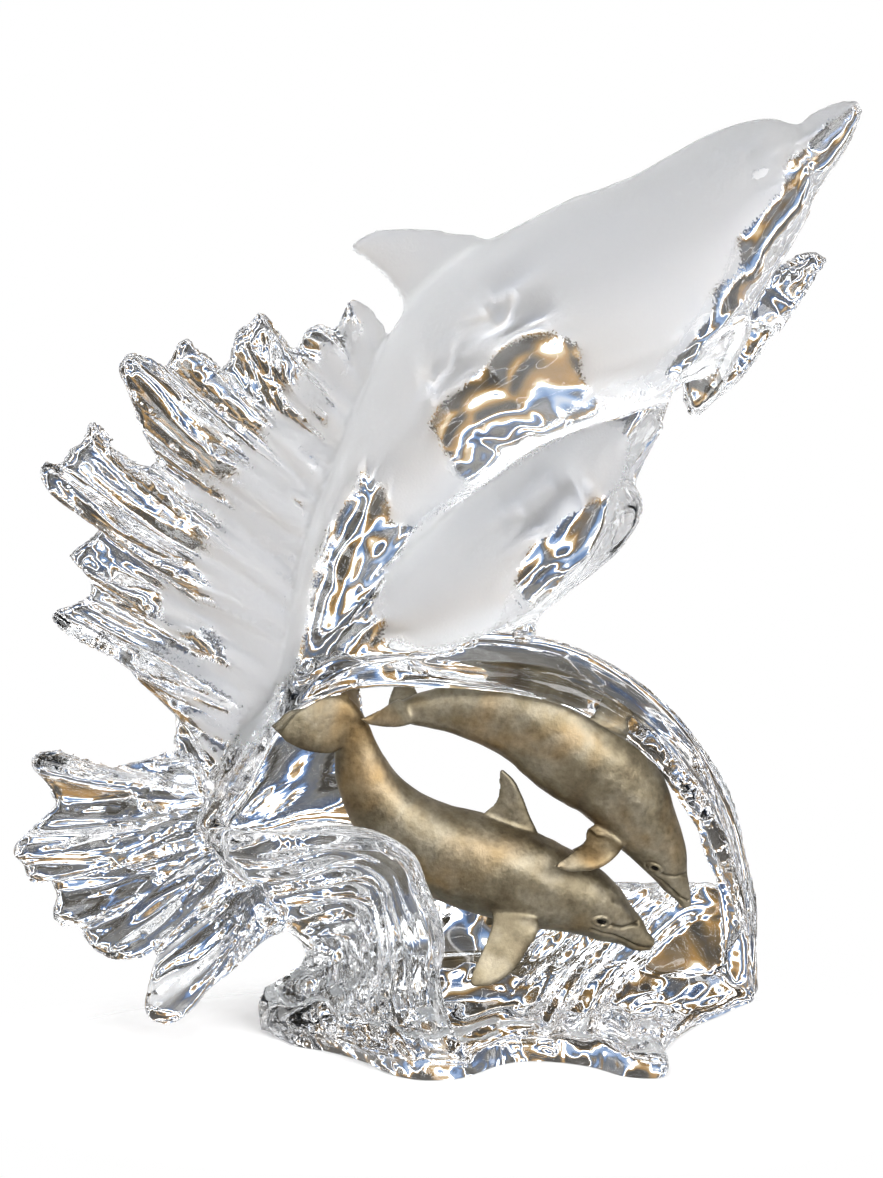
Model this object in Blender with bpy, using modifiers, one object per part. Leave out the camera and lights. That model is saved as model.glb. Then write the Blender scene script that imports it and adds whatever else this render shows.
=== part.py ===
"""Cast acrylic wave with a leaping dolphin, and two small cast metal dolphins under its arch.

The leaper heads up to +X. Its tail runs into a fan of spray on the -X side, and a ribbon of
water arches over the two metal dolphins down to the right end of the base. The front is -Y.
Every size below is in millimetres, and the origin is on the ground under the middle.
"""

import math

import bmesh
import bpy
import numpy as np

MM = 0.001

# How finely the cast surfaces are made
CASTING_VOXEL = 2.4
CASTING_TRIANGLES = 6600
METAL_VOXEL = 0.9
METAL_TRIANGLES = 1400
SEAT_GAP = 0.4
GROUND_BLOCK = (600.0, 400.0, 50.0)

# Sheets and fins: least radius of a point, share of the edge that is rounded off
LEAST_RADIUS = 0.3
RIM_SHARE = 0.1

# Fins: how they thin to the tip, how plump they are at the front and the rear, half thicknesses
BLADE_TAPER = 0.8
BLADE_FRONT = 1.25
BLADE_REAR = 0.70
LEAPER_BACK_FIN_HALF = (7.0, 1.8)
LEAPER_NEAR_FIN_HALF = (6.0, 2.4)
LEAPER_FAR_FIN_HALF = (5.0, 2.4)
BACK_FIN_HALF = (3.2, 0.9)
BREAST_FIN_HALF = (2.8, 1.1)
FLUKE_HALF = (2.6, 1.1)

# Fans of spray: edge share of one finger, how far a finger stands off, pleats and their height
FINGER_SHARE = 0.16
FINGER_RISE = 7.0
FAN_RIM_SHARE = 0.06
FAN_END_SHARE = 0.02
FAN_DISH = 3.0
UPPER_PLEATS = 17
LOWER_PLEATS = 13
PLEAT_HEIGHT = 2.6
PLEAT_LEAN = 3.0

# Foot: how far its side runs below the ground before the cut, its height at the front and back
FOOT_DEPTH = 4.0
FRONT_HEIGHT = 13.0
BACK_HEIGHT = 51.0
FRONT_Y = -34.0
FRONT_TO_BACK = 92.0
SWEEP = 1.7
LEFT_END = 0.5
LEFT_END_X = -70.0
LEFT_END_LENGTH = 60.0
FOOT_MIDDLE = (10.0, 8.0)
# How far the foot's side is rounded in, and where on that round it meets the ground
ROUND_IN = 5.0
ROUND_FROM = math.radians(-75)
# Low shore along the foot's right front: its height, and how far in the foot has its full height
SHORE_HEIGHT = 7.0
SHORE_WIDTH = 32.0
# Ridges on the foot: how far they stand off, how sharp they are, how they swing right as they run back
RIDGE_HEIGHT = 1.8
RIDGE_SHARPNESS = 0.8
RIDGE_SWING = 40.0
RIDGE_FRONT_Y = -40.0
RIDGE_REACH = 75.0
RIDGE_X = 5.0
RIDGE_FADE = 15.0

# Leaping dolphin: x, y, z of its centre line from beak to tail, half height, half width
LEAPER = [
    (156.5, -4, 433, 1.6, 2.0),
    (150, -4, 428, 6.0, 5.0),
    (143, -4, 420, 10.6, 7.5),
    (134, -4, 411, 14.0, 11.0),
    (124, -4, 405.5, 22.5, 17.0),
    (111, -4, 396, 29.5, 22),
    (96, -4, 382.5, 35, 27),
    (79, -4, 365.5, 42.3, 33),
    (59.5, -4, 350, 48.3, 38),
    (34.5, -4, 338, 47.8, 39),
    (10, -4, 327, 45.5, 37),
    (-13, -4, 309.5, 42, 33),
    (-32, -4, 286, 34, 27),
    (-48, -4, 263, 27, 22),
    (-62.5, -5, 239.5, 21.5, 17.5),
    (-72, -6, 218.5, 18, 14),
    (-80.5, -8, 196.5, 13.4, 11),
    (-92, -11, 170, 7.5, 8),
    (-106, -14, 146, 5.5, 7),
    (-119, -15, 123, 5, 7),
    (-131, -16, 103, 5.5, 8),
]
# Fins: points of the leading edge, then of the trailing edge, root first
LEAPER_BACK_FIN = (
    [(8, -4, 362), (-2, -4, 370.5), (-22.5, -4, 375), (-44.5, -4, 377), (-60, -4, 374), (-67, -4, 368.5)],
    [(-36, -4, 325), (-43.5, -4, 334), (-43.5, -4, 342), (-47.5, -4, 350.5), (-56, -4, 360), (-66, -4, 367)],
)
LEAPER_NEAR_FIN = (
    [(104, -14, 352), (109, -25, 338), (102, -31, 322), (92, -36, 306), (85, -38, 300)],
    [(70, -14, 332), (74, -27, 322), (78, -34, 312), (79, -37, 305), (82, -38, 299)],
)
LEAPER_FAR_FIN = (
    [(112, 8, 362), (124, 15, 357), (134, 21, 360), (140, 25, 360), (144, 26, 358)],
    [(88, 8, 330), (112, 14, 328), (128, 20, 336), (137, 24, 347), (143, 26, 355)],
)

# Sheet of water hanging between the leaper's breast fins
WEB_TOP = [(74, -22, 330, 4), (88, -10, 332, 5), (100, 2, 338, 5), (112, 10, 346, 4), (124, 16, 354, 3)]
WEB_EDGE = [(85, -37, 300, 3), (102, -22, 310, 3), (117, -2, 322, 3), (131, 16, 336, 3), (143, 25, 353, 2.5)]

# Swell of water below the belly, run into the tail, then the lumpy lip along its right side
SWELL = [
    (73, -4, 306, 5, 6),
    (65, -4, 297, 10, 12),
    (51, -4, 282, 17, 19),
    (35, -4, 265, 26, 26),
    (18, -4, 244, 29, 30),
    (-2, -4, 228, 30, 30),
    (-24, -4, 213, 26, 26),
    (-45, -4, 201, 19, 20),
    (-64, -5, 191, 13, 14),
    (-82, -8, 176, 9, 11),
]
SWELL_LIP = [
    (69, -16, 294, 4, 5),
    (59, -19, 281, 6, 7),
    (53, -20, 268, 4.5, 6),
    (56, -18, 255, 7, 8),
    (51, -16, 242, 6, 7),
    (38, -14, 230, 7.5, 8),
    (25, -12, 217, 6, 7),
    (13, -10, 204, 5, 6),
    (10, -8, 190, 6, 7),
]

# Arching ribbon: its front edge and its back edge from the tail to the foot, with half thickness
RIBBON_FRONT = [
    (-133, -16, 101, 4),
    (-104, -17, 152, 4),
    (-76, -20, 171, 4.2),
    (-49, -20, 175.5, 4.5),
    (-13.5, -20, 174.5, 4.5),
    (27, -20, 166.5, 4.5),
    (63.5, -12, 142.5, 4.5),
    (92.5, 2, 101.5, 4.5),
    (107, 18, 57, 4.5),
    (112.5, 33, 12, 5),
    (113, 36, -4, 6),
]
RIBBON_BACK = [
    (-126, 4, 112, 4),
    (-98, 14, 160, 4),
    (-70, 20, 174, 4.5),
    (-45, 22, 178, 5),
    (-10, 22, 182, 5),
    (32, 22, 176, 5),
    (67, 26, 154, 5),
    (99, 36, 110, 5),
    (114, 47, 62, 5),
    (119, 58, 14, 5.5),
    (120, 60, -4, 6),
]

# Rippled wall of water behind the lower dolphin's tail
WALL_TOP = [(-133, -8, 104, 5), (-106, 8, 150, 5), (-84, 15, 168, 5), (-66, 18, 174, 5)]
WALL_FOOT = [(-128, -8, 96, 6), (-104, 12, 94, 6), (-80, 18, 95, 6), (-55, 20, 92, 6)]

# Upper fan of spray: its root up the leaper's tail, then its fingers and notches, top to bottom
UPPER_ROOT = [
    (-52, 8, 316, 9),
    (-66, 8, 272, 10),
    (-80, 8, 236, 10),
    (-88, 5, 208, 10),
    (-98, 1, 176, 10),
    (-110, -2, 146, 9),
    (-124, -5, 118, 8),
]
UPPER_FINGERS = [
    (-51, 8, 330, 4),
    (-58, 9, 338.5, 4),
    (-67.5, 10, 342, 4.5),
    (-70.5, 12, 335, 4),
    (-74, 15, 328.5, 3.5),
    (-81, 19, 329.5, 4),
    (-86.5, 19, 327, 3.5),
    (-90.5, 16, 321, 3),
    (-94.5, 14, 316.5, 3),
    (-98, 12, 322, 3.5),
    (-102, 9, 331, 4.5),
    (-107, 8, 337.5, 5),
    (-111, 9, 333, 4.5),
    (-117, 11, 329, 4),
    (-119.5, 13, 321.5, 4),
    (-123, 15, 312.5, 3.5),
    (-129, 16, 307.5, 3),
    (-134, 18, 310.5, 3.5),
    (-137, 20, 316, 4),
    (-139.5, 21, 323, 4.8),
    (-144, 21, 321, 4.5),
    (-149.5, 16, 312, 4),
    (-156.5, 11, 316, 4),
    (-166, 7, 319, 5),
    (-170, 7, 313, 5),
    (-167, 8, 304, 4.5),
    (-164, 10, 293.5, 4),
    (-162, 12, 284, 3.5),
    (-157, 14, 266, 3),
    (-162, 15, 264, 3),
    (-171, 17, 267.5, 3.5),
    (-177, 19, 273.5, 3.5),
    (-181, 21, 283.5, 4.5),
    (-184, 21, 285, 4.5),
    (-186.5, 20, 280.5, 3.5),
    (-188.5, 17, 275.5, 3.5),
    (-193, 14, 274, 4),
    (-198, 9, 268, 4),
    (-203.5, 5, 270, 4.5),
    (-206, 5, 265.5, 4.5),
    (-204, 7, 259, 4.5),
    (-196, 9, 251, 4),
    (-188, 11, 244.5, 3.5),
    (-182, 14, 236.5, 3),
    (-187.5, 16, 230, 3.5),
    (-195, 17, 223, 3.5),
    (-190, 15, 218, 3.5),
    (-186, 12, 208, 3),
    (-192, 9, 202.5, 3.5),
    (-203, 5, 199.5, 4),
    (-198.5, 5, 194, 4),
    (-186, 6, 188, 4),
    (-177.5, 7, 181, 4),
    (-170.5, 8, 176.5, 4),
    (-165, 8, 167.5, 4),
    (-155, 8, 160, 4),
    (-149, 7, 153, 4.5),
    (-148, 5, 142.5, 4.5),
    (-150, 3, 137, 5),
]

# Lower fan of spray, from the waist between the two fans round to the wave's hollow
LOWER_ROOT = [
    (-138, 0, 130, 8),
    (-131, -6, 112, 8),
    (-123, -10, 94, 8),
    (-112, -12, 78, 8),
    (-98, -13, 63, 7),
]
LOWER_FINGERS = [
    (-150, -1, 136, 5),
    (-161.5, -3, 132, 5),
    (-173, -4, 130.5, 4.5),
    (-187.5, -6, 134.5, 4),
    (-204, -9, 139, 4.5),
    (-210.5, -10, 138, 4.5),
    (-211.5, -10, 133, 4.5),
    (-208, -9, 127, 4),
    (-204, -8, 118, 3.5),
    (-202.5, -8, 112, 3.5),
    (-209, -10, 105.5, 4),
    (-219, -13, 97, 5),
    (-221, -13, 93, 5),
    (-216.5, -13, 86, 4.5),
    (-214, -12, 78.5, 4),
    (-205, -9, 76, 3.5),
    (-203, -11, 69.5, 4),
    (-203.5, -14, 61.5, 4.5),
    (-199, -16, 58, 4.5),
    (-193, -17, 58, 4),
    (-190, -15, 51.5, 4),
    (-185, -13, 45.5, 4),
    (-177, -13, 41.5, 4.5),
    (-168, -14, 40.5, 5),
    (-162, -13, 42.5, 4.5),
    (-158, -10, 47.5, 3.5),
    (-155, -8, 54, 3),
    (-157, -11, 42, 4),
    (-161, -16, 26.5, 5.5),
    (-162, -19, 19.5, 6),
    (-157, -20, 14.5, 6.5),
    (-150, -20, 13.5, 6.5),
    (-143, -19, 17, 6),
    (-132, -17, 28.5, 5.5),
    (-121, -15, 36.5, 5),
    (-111, -13, 46.5, 4.5),
    (-99, -11, 51, 4.5),
]

# Breaking wave at the front left: its lip, its hollow left end, its rim on the ground
CREST_LIP = [
    (-131, -24, 104, 6),
    (-108, -34, 106, 6),
    (-76, -41, 109.5, 5.5),
    (-52, -43, 107.5, 5),
    (-40, -44, 100, 4.5),
    (-34, -46, 86, 4.5),
    (-28, -48, 71, 4.5),
    (-26, -48, 58, 4.5),
    (-28.5, -47, 46, 5),
    (-25, -49, 28, 6),
    (-14, -58.5, 6, 7),
]
CREST_HOLLOW_END = [
    (-131, -24, 104, 6),
    (-118, -14, 77, 6),
    (-98, -11, 57, 5),
    (-90, -12, 51.5, 4.5),
    (-86, -12, 45.5, 4.5),
    (-85.5, -12, 39.5, 4.5),
    (-88.5, -12, 32.5, 4.5),
    (-94, -12, 28, 4.5),
    (-100, -11, 24.5, 4.5),
    (-104.5, -10, 21, 5),
    (-107, -9, 16.5, 5),
    (-107, -8, 10, 6),
    (-104, -8, 3, 7),
]
CREST_RIM = [
    (-14, -58.5, 6, 7),
    (-34, -59.5, 4, 7),
    (-46, -54.5, 4, 7),
    (-72, -32, 3, 7),
    (-92, -18, 3, 7),
    (-104, -8, 3, 7),
]
CREST_HOLLOW = 24.0
CREST_LEAST = 4.0
CREST_RIM_SHARE = 0.05
CREST_FULLNESS = 0.8
COMB_HEIGHT = 1.2
COMB_COUNT = 9

# Plan of the foot, x and y, anticlockwise from its left end
FOOT_PLAN = [
    (-110, 4),
    (-96, -19),
    (-72, -31),
    (-40, -62.5),
    (-26, -63.5),
    (9, -41.5),
    (41, -46.5),
    (62, -60.5),
    (73, -60.5),
    (78, -28),
    (90, 0),
    (112, 26),
    (124, 44),
    (121, 62),
    (80, 66),
    (20, 70),
    (-40, 66),
    (-86, 44),
]
SHORE = [(77, -38), (78, -28), (90, 0), (112, 26), (124, 44)]
RIDGE_STARTS = [-90, -66, -45, -27, -12, 2, 17, 27, 44, 72, 112]

# Metal dolphins: centre line from beak to tail, half height, half width
LOWER_DOLPHIN = [
    (71, 0, 42, 2.4, 2.0),
    (65, 0, 45, 5.8, 4.0),
    (60, 0, 49.5, 8.2, 6.0),
    (53, 0, 54.5, 11.6, 9.6),
    (44, 0, 61, 15, 13),
    (32, 0, 67, 18.4, 16),
    (18.5, 0, 72, 21, 18),
    (2.5, 0, 78, 22.6, 19.5),
    (-13.5, 0, 83.5, 22.6, 19.5),
    (-31.5, 0, 90.5, 21, 17.5),
    (-46.5, 0, 101.5, 18, 14),
    (-57, 0, 114.5, 15, 11),
    (-63, 0, 128, 12.2, 8),
    (-66, 0, 141, 9.2, 6),
    (-69, 0, 152, 6.8, 5),
    (-71, 0, 159, 4, 4),
]
LOWER_BACK_FIN = (
    [(20, 0, 89.5), (17.5, 0, 97.5), (14, 0, 105.5), (10, 0, 115.5), (5.5, 0, 123), (1.5, 0, 126.5)],
    [(-14, 0, 97.5), (-6, 0, 107), (-1.5, 0, 111.5), (0, 0, 117.5), (0, 0, 122.5), (0.5, 0, 126)],
)
LOWER_NEAR_FIN = (
    [(17, -12, 63), (18, -18, 57.5), (12.5, -23, 47.5), (4.5, -28, 38.5), (-5, -32, 34), (-12, -33, 34)],
    [(-4, -12, 66), (-3.5, -18, 59.5), (-6, -23, 53), (-10, -28, 45), (-13, -32, 39), (-13.6, -33, 36)],
)
LOWER_FAR_FIN = (
    [(21, 13, 61.5), (21, 18, 56.5), (16, 23, 50.5), (9, 27, 45.5), (1, 30, 42), (-4, 31, 41)],
    [(0, 13, 63.5), (0, 18, 58), (-1, 23, 53.5), (-3, 27, 48.5), (-5, 30, 44.5), (-5.5, 31, 42)],
)
LOWER_NEAR_FLUKE = (
    [(-66, -2, 146), (-73.5, -6, 137.5), (-84, -11, 138.5), (-95, -14, 143.5), (-102, -15, 151)],
    [(-69, 0, 163), (-77, -5, 163), (-87, -10, 162.5), (-97, -14, 158.5), (-102.5, -15, 152.5)],
)
LOWER_FAR_FLUKE = (
    [(-66, 2, 146), (-63.5, 8, 151.5), (-65, 13, 156.5), (-63, 18, 161.5), (-58, 23, 166)],
    [(-71, 0, 161.5), (-72, 6, 163.5), (-70, 12, 165.5), (-66, 17, 167), (-59, 23, 167)],
)
UPPER_DOLPHIN = [
    (86.5, -2, 61.3, 2.2, 2.0),
    (84, -2, 67.8, 4.5, 3.8),
    (80, -2, 74.8, 7, 5.8),
    (76.5, -2, 82.8, 10.3, 8.6),
    (72, -2, 91.8, 13.3, 11.2),
    (65.5, -2, 102.6, 16.6, 14),
    (58.5, -2, 114, 19.4, 16),
    (48.5, -2, 125.8, 21.8, 17.5),
    (33.5, -2, 135.7, 22.5, 17.5),
    (18, -2, 148.1, 21.6, 16),
    (0.3, -2, 154.2, 17.6, 13),
    (-16.7, -2, 156.2, 13, 9.5),
    (-32, -2, 156, 8.7, 6.5),
    (-44, -2, 154.8, 5, 4.5),
    (-51, -2, 153.3, 3, 3.5),
]
UPPER_BACK_FIN = (
    [(63, -2, 128), (61, -2, 139), (58, -2, 148.5), (53, -2, 155), (46, -2, 160)],
    [(34, -2, 144), (39, -2, 149), (41.5, -2, 153), (42.5, -2, 156.5), (43.5, -2, 159.5)],
)
UPPER_NEAR_FIN = (
    [(56, -13, 93.6), (54, -18, 92.3), (46, -24, 88.1), (38, -27, 87.1), (30, -30, 88.1), (25.5, -31, 90.6)],
    [
        (40, -11, 101.6),
        (38.5, -17, 98.3),
        (34.5, -23, 96.6),
        (31, -27, 95.1),
        (27.5, -30, 93.6),
        (25.2, -31, 91.9),
    ],
)
UPPER_FAR_FIN = (
    [(57, 3, 97.3), (54, 8, 89.3), (48, 14, 82.8), (42, 18, 79.8), (35, 22, 79.3)],
    [(45, 3, 103.3), (44, 8, 95.8), (41, 14, 89.8), (38, 18, 84.8), (34, 22, 80.8)],
)
UPPER_NEAR_FLUKE = (
    [(-36, -4, 151.3), (-44.5, -10, 150.6), (-54, -17, 152.5), (-60, -22, 155.7), (-62.5, -23.5, 157.8)],
    [(-46, -3, 161.3), (-49, -9, 161.3), (-54, -17, 160.4), (-60, -22, 158.7), (-62.5, -23.5, 158.3)],
)
UPPER_FAR_FLUKE = (
    [(-34, -1, 153.8), (-36, 4, 157.3), (-38, 9, 161), (-41, 14, 165), (-44, 16, 167)],
    [(-51, -1, 156.3), (-50.5, 3, 158.8), (-49, 8, 162), (-47, 14, 165.5), (-45, 16, 167.2)],
)

ACROSS = np.array([0.0, 1.0, 0.0])


def clear_scene():
    for thing in list(bpy.data.objects):
        bpy.data.objects.remove(thing, do_unlink=True)


def unit(vectors):
    return vectors / np.maximum(np.linalg.norm(vectors, axis=-1, keepdims=True), 1e-9)


def smooth(table, count):
    """Evenly spaced rows on a smooth curve through the table's rows, whose first three are a place."""
    rows = np.asarray(table, float)
    steps = np.linalg.norm(np.diff(rows[:, :3], axis=0), axis=1)
    reach = np.concatenate([[0.0], np.cumsum(steps)])
    slope = np.gradient(rows, reach, axis=0)
    at = np.linspace(0.0, reach[-1], count)
    i = np.clip(np.searchsorted(reach, at, side="right") - 1, 0, len(rows) - 2)
    span = (reach[i + 1] - reach[i])[:, None]
    t = (at[:, None] - reach[i][:, None]) / span
    start = (1 + 2 * t) * (1 - t) ** 2 * rows[i] + t * (1 - t) ** 2 * span * slope[i]
    end = t * t * (3 - 2 * t) * rows[i + 1] + t * t * (t - 1) * span * slope[i + 1]
    return start + end


def rings_shell(rings):
    """Closed shell through rings of points, each end closed by one face."""
    count, sides = rings.shape[:2]
    faces = []
    for i in range(count - 1):
        for k in range(sides):
            here, beside = i * sides + k, i * sides + (k + 1) % sides
            faces.append((here, beside, beside + sides, here + sides))
    faces.append(tuple(range(sides)))
    faces.append(tuple((count - 1) * sides + k for k in range(sides)))
    return rings.reshape(-1, 3), faces


def body_shell(stations, rings=60, sides=28):
    """Body of a dolphin or a swell of water: oval sections square to its centre line."""
    line = smooth(stations, rings)
    along = unit(np.gradient(line[:, :3], axis=0))
    up = unit(np.cross(ACROSS, along))
    turn = np.linspace(0, 2 * math.pi, sides, endpoint=False)[None, :, None]
    tall, wide = np.maximum(line[:, 3:5], LEAST_RADIUS).T
    tall, wide = tall[:, None, None], wide[:, None, None]
    centre = line[:, None, :3]
    return rings_shell(centre + up[:, None] * tall * np.cos(turn) + ACROSS * wide * np.sin(turn))


def blade_shell(edges, halves, rings=20, sides=20):
    """Fin or fluke: lens sections from the leading edge to the trailing edge, thinning to the tip."""
    leading, trailing = (smooth(edge, rings) for edge in edges)
    chord = trailing - leading
    span = np.gradient((leading + trailing) / 2, axis=0)
    out = unit(np.cross(chord, span))[:, None]
    root_half, tip_half = halves
    thinning = np.linspace(0, 1, rings) ** BLADE_TAPER
    half = (root_half + (tip_half - root_half) * thinning)[:, None, None]
    turn = np.linspace(0, 2 * math.pi, sides, endpoint=False)[None, :, None]
    back = (1 - np.cos(turn)) / 2
    plump = np.sin(turn) * (BLADE_FRONT + (BLADE_REAR - BLADE_FRONT) * back)
    return rings_shell(leading[:, None] + chord[:, None] * back + out * half * plump)


def grid_faces(rows, columns, first, flipped):
    faces = []
    for i in range(rows - 1):
        for k in range(columns - 1):
            a = first + i * columns + k
            face = (a, a + 1, a + columns + 1, a + columns)
            faces.append(face[::-1] if flipped else face)
    return faces


def sheet_shell(front, back):
    """Closed shell from the front and the back of a sheet, two grids of points of one size."""
    rows, columns = front.shape[:2]
    back_first = rows * columns
    faces = grid_faces(rows, columns, 0, False) + grid_faces(rows, columns, back_first, True)
    top = list(range(columns))
    right = [i * columns + columns - 1 for i in range(rows)]
    rim = top + right[1:] + [(rows - 1) * columns + k for k in range(columns - 2, -1, -1)]
    rim += [i * columns for i in range(rows - 2, 0, -1)]
    for a, b in zip(rim, rim[1:] + rim[:1]):
        faces.append((b, a, a + back_first, b + back_first))
    return np.concatenate([front.reshape(-1, 3), back.reshape(-1, 3)]), faces


def thick_sheet(middle, half, out=None):
    """Sheet of a half thickness on each side of its middle, square to it or along the way out."""
    if out is None:
        out = unit(np.cross(np.gradient(middle, axis=0), np.gradient(middle, axis=1)))
    return sheet_shell(middle - out * half, middle + out * half)


def rounded(t, share):
    """1 over most of 0..1, falling to nearly nothing in a quarter round near t = 1."""
    past = np.clip((t - (1 - share)) / share, 0, 0.9)
    return np.sqrt(1 - past**2)


def finger_ridges(reach):
    """From -1 in the notches to 1 along the fingers, by how far the reach stands off its trend."""
    width = int(len(reach) * FINGER_SHARE) | 1
    padded = np.pad(reach, width // 2, mode="reflect")
    trend = np.convolve(padded, np.full(width, 1 / width), mode="valid")
    return np.clip((reach - trend) / FINGER_RISE, -1, 1)


def spray_fan(root, fingers, count, rows, pleats):
    """Fan of water from its root to its fingers, each finger a ridge that fades towards the root."""
    near, far = smooth(root, count), smooth(fingers, count)
    ridge = finger_ridges(np.linalg.norm(far[:, :3] - near[:, :3], axis=1))[:, None, None]
    near, far = near[:, None], far[:, None]
    t = np.linspace(0, 1, rows)[None, :, None]
    s = np.linspace(0, 1, count)[:, None, None]
    mixed = near * (1 - t) + far * t
    pleat = 0.5 * np.sin(2 * math.pi * pleats * s + PLEAT_LEAN * t) - ridge
    middle = mixed[..., :3] + ACROSS * (PLEAT_HEIGHT * pleat * t - FAN_DISH * np.sin(math.pi * t))
    edge = rounded(t, FAN_RIM_SHARE) * rounded(s, FAN_END_SHARE) * rounded(1 - s, FAN_END_SHARE)
    return thick_sheet(middle, mixed[..., 3:4] * edge, ACROSS)


def water_band(low, high, count, rows, bow):
    """Band of water between two edges, arched along the bow midway between them."""
    near, far = smooth(low, count)[:, None], smooth(high, count)[:, None]
    t = np.linspace(0, 1, rows)[None, :, None]
    mixed = near * (1 - t) + far * t
    middle = mixed[..., :3] + np.asarray(bow, float) * np.sin(math.pi * t)
    edge = rounded(t, RIM_SHARE) * rounded(1 - t, RIM_SHARE)
    return thick_sheet(middle, mixed[..., 3:4] * edge)


def crest_shell(count=90, rows=70):
    """Breaking wave: a patch between its lip, its hollow end and its rim, hollowed towards +Y."""
    lip = smooth(CREST_LIP, rows)[None]
    end = smooth(CREST_HOLLOW_END, count)[:, None]
    rim = smooth(CREST_RIM, count)[:, None]
    s = np.linspace(0, 1, count)[:, None, None]
    t = np.linspace(0, 1, rows)[None, :, None]
    last = np.array(CREST_RIM[-1], float)
    corners = (1 - s) * ((1 - t) * lip[:, :1] + t * lip[:, -1:]) + s * last
    patch = (1 - s) * lip + s * last + (1 - t) * end + t * rim - corners
    across = np.maximum(np.sin(math.pi * t), 0) ** CREST_FULLNESS
    deep = CREST_HOLLOW * np.sin(math.pi * s**CREST_FULLNESS) * across
    comb = COMB_HEIGHT * np.sin(2 * math.pi * COMB_COUNT * s) * np.sin(math.pi * t)
    middle = patch[..., :3] + ACROSS * (deep + comb)
    edge = rounded(1 - s, CREST_RIM_SHARE)
    return thick_sheet(middle, np.maximum(patch[..., 3:4], CREST_LEAST) * edge)


def closed_curve(points, count):
    """Evenly spaced points on a smooth closed curve through the given ones."""
    wrap = 3
    ring = [tuple(p) + (0.0,) for p in points[-wrap:] + points + points[:wrap]]
    fine = smooth(ring, 4 * count)
    start = np.linalg.norm(fine[: 2 * count, :2] - points[0], axis=1).argmin()
    end = 2 * count + np.linalg.norm(fine[2 * count :, :2] - points[0], axis=1).argmin()
    return smooth(fine[start : end + 1], count + 1)[:-1, :2]


def line_distance(places, line):
    """How far each place lies from a line of points."""
    line = np.asarray(line, float)
    nearest = np.full(places.shape[:-1], np.inf)
    for start, end in zip(line, line[1:]):
        step = end - start
        t = np.clip((places - start) @ step / (step @ step), 0, 1)
        nearest = np.minimum(nearest, np.linalg.norm(places - start - t[..., None] * step, axis=-1))
    return nearest


def foot_height(x, y):
    """Height of the foot's top: low at the front and along the shore, swept up to a ridge at the back."""
    rise = np.clip((y - FRONT_Y) / FRONT_TO_BACK, 0, 1)
    swept = FRONT_HEIGHT + (BACK_HEIGHT - FRONT_HEIGHT) * rise**SWEEP
    swept *= LEFT_END + (1 - LEFT_END) * np.clip((x - LEFT_END_X) / LEFT_END_LENGTH, 0, 1)
    inland = np.clip(line_distance(np.stack([x, y], -1), SHORE) / SHORE_WIDTH, 0, 1)
    return SHORE_HEIGHT + (swept - SHORE_HEIGHT) * inland**2 * (3 - 2 * inland)


def foot_ridges(x, y):
    """Scooped valleys with ridges between them, which start at the foot's front and bend to the right."""
    swing = RIDGE_SWING * (np.maximum(y - RIDGE_FRONT_Y, 0) / RIDGE_REACH) ** 2
    turns = np.interp(x - swing, RIDGE_STARTS, np.arange(len(RIDGE_STARTS)))
    scoop = 1 - 2 * np.abs(np.sin(math.pi * turns)) ** RIDGE_SHARPNESS
    return RIDGE_HEIGHT * scoop * np.clip((x - RIDGE_X) / RIDGE_FADE, 0, 1)


def foot_shell(count=120, side_rows=9, rows=24):
    """Foot of the wave: a rounded side on its plan, drawn in to the middle, and a flat underside."""
    plan = closed_curve(FOOT_PLAN, count)
    middle = np.array(FOOT_MIDDLE)
    inward = unit(middle - plan)[None]
    turn = np.linspace(ROUND_FROM, math.pi / 2, side_rows)[:, None, None]
    side = plan[None] + inward * ROUND_IN * (1 - np.cos(turn))
    drawn_in = np.linspace(1, 1 / rows, rows)[1:, None, None]
    flat = np.concatenate([side, middle + (side[-1:] - middle) * drawn_in])
    height = foot_height(flat[..., 0], flat[..., 1])
    height[:side_rows] *= (1 + np.sin(turn[..., 0])) / 2
    height[side_rows:] += foot_ridges(flat[side_rows:, :, 0], flat[side_rows:, :, 1])
    buried = np.dstack([side[:1], np.full((1, count), -FOOT_DEPTH)])
    return rings_shell(np.concatenate([buried, np.dstack([flat, height])]))


def part_material(name, hex_colour, roughness, metallic, see_through):
    material = bpy.data.materials.new(name)
    material.use_nodes = True
    shader = material.node_tree.nodes["Principled BSDF"]
    srgb = [int(hex_colour[i : i + 2], 16) / 255 for i in (0, 2, 4)]
    linear = [c / 12.92 if c <= 0.04045 else ((c + 0.055) / 1.055) ** 2.4 for c in srgb]
    shader.inputs["Base Color"].default_value = (*linear, 1)
    shader.inputs["Roughness"].default_value = roughness
    shader.inputs["Metallic"].default_value = metallic
    shader.inputs["Transmission Weight"].default_value = see_through
    return material


def add_object(name, shells, collection, material=None):
    """One object that holds the shells, each closed and facing out."""
    points, faces, first = [], [], 0
    for shell_points, shell_faces in shells:
        points.append(shell_points * MM)
        faces += [tuple(first + k for k in face) for face in shell_faces]
        first += len(shell_points)
    mesh = bpy.data.meshes.new(name)
    mesh.from_pydata(np.concatenate(points).tolist(), [], faces)
    shape = bmesh.new()
    shape.from_mesh(mesh)
    bmesh.ops.recalc_face_normals(shape, faces=shape.faces)
    shape.to_mesh(mesh)
    shape.free()
    if material:
        mesh.materials.append(material)
    thing = bpy.data.objects.new(name, mesh)
    collection.objects.link(thing)
    return thing


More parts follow.
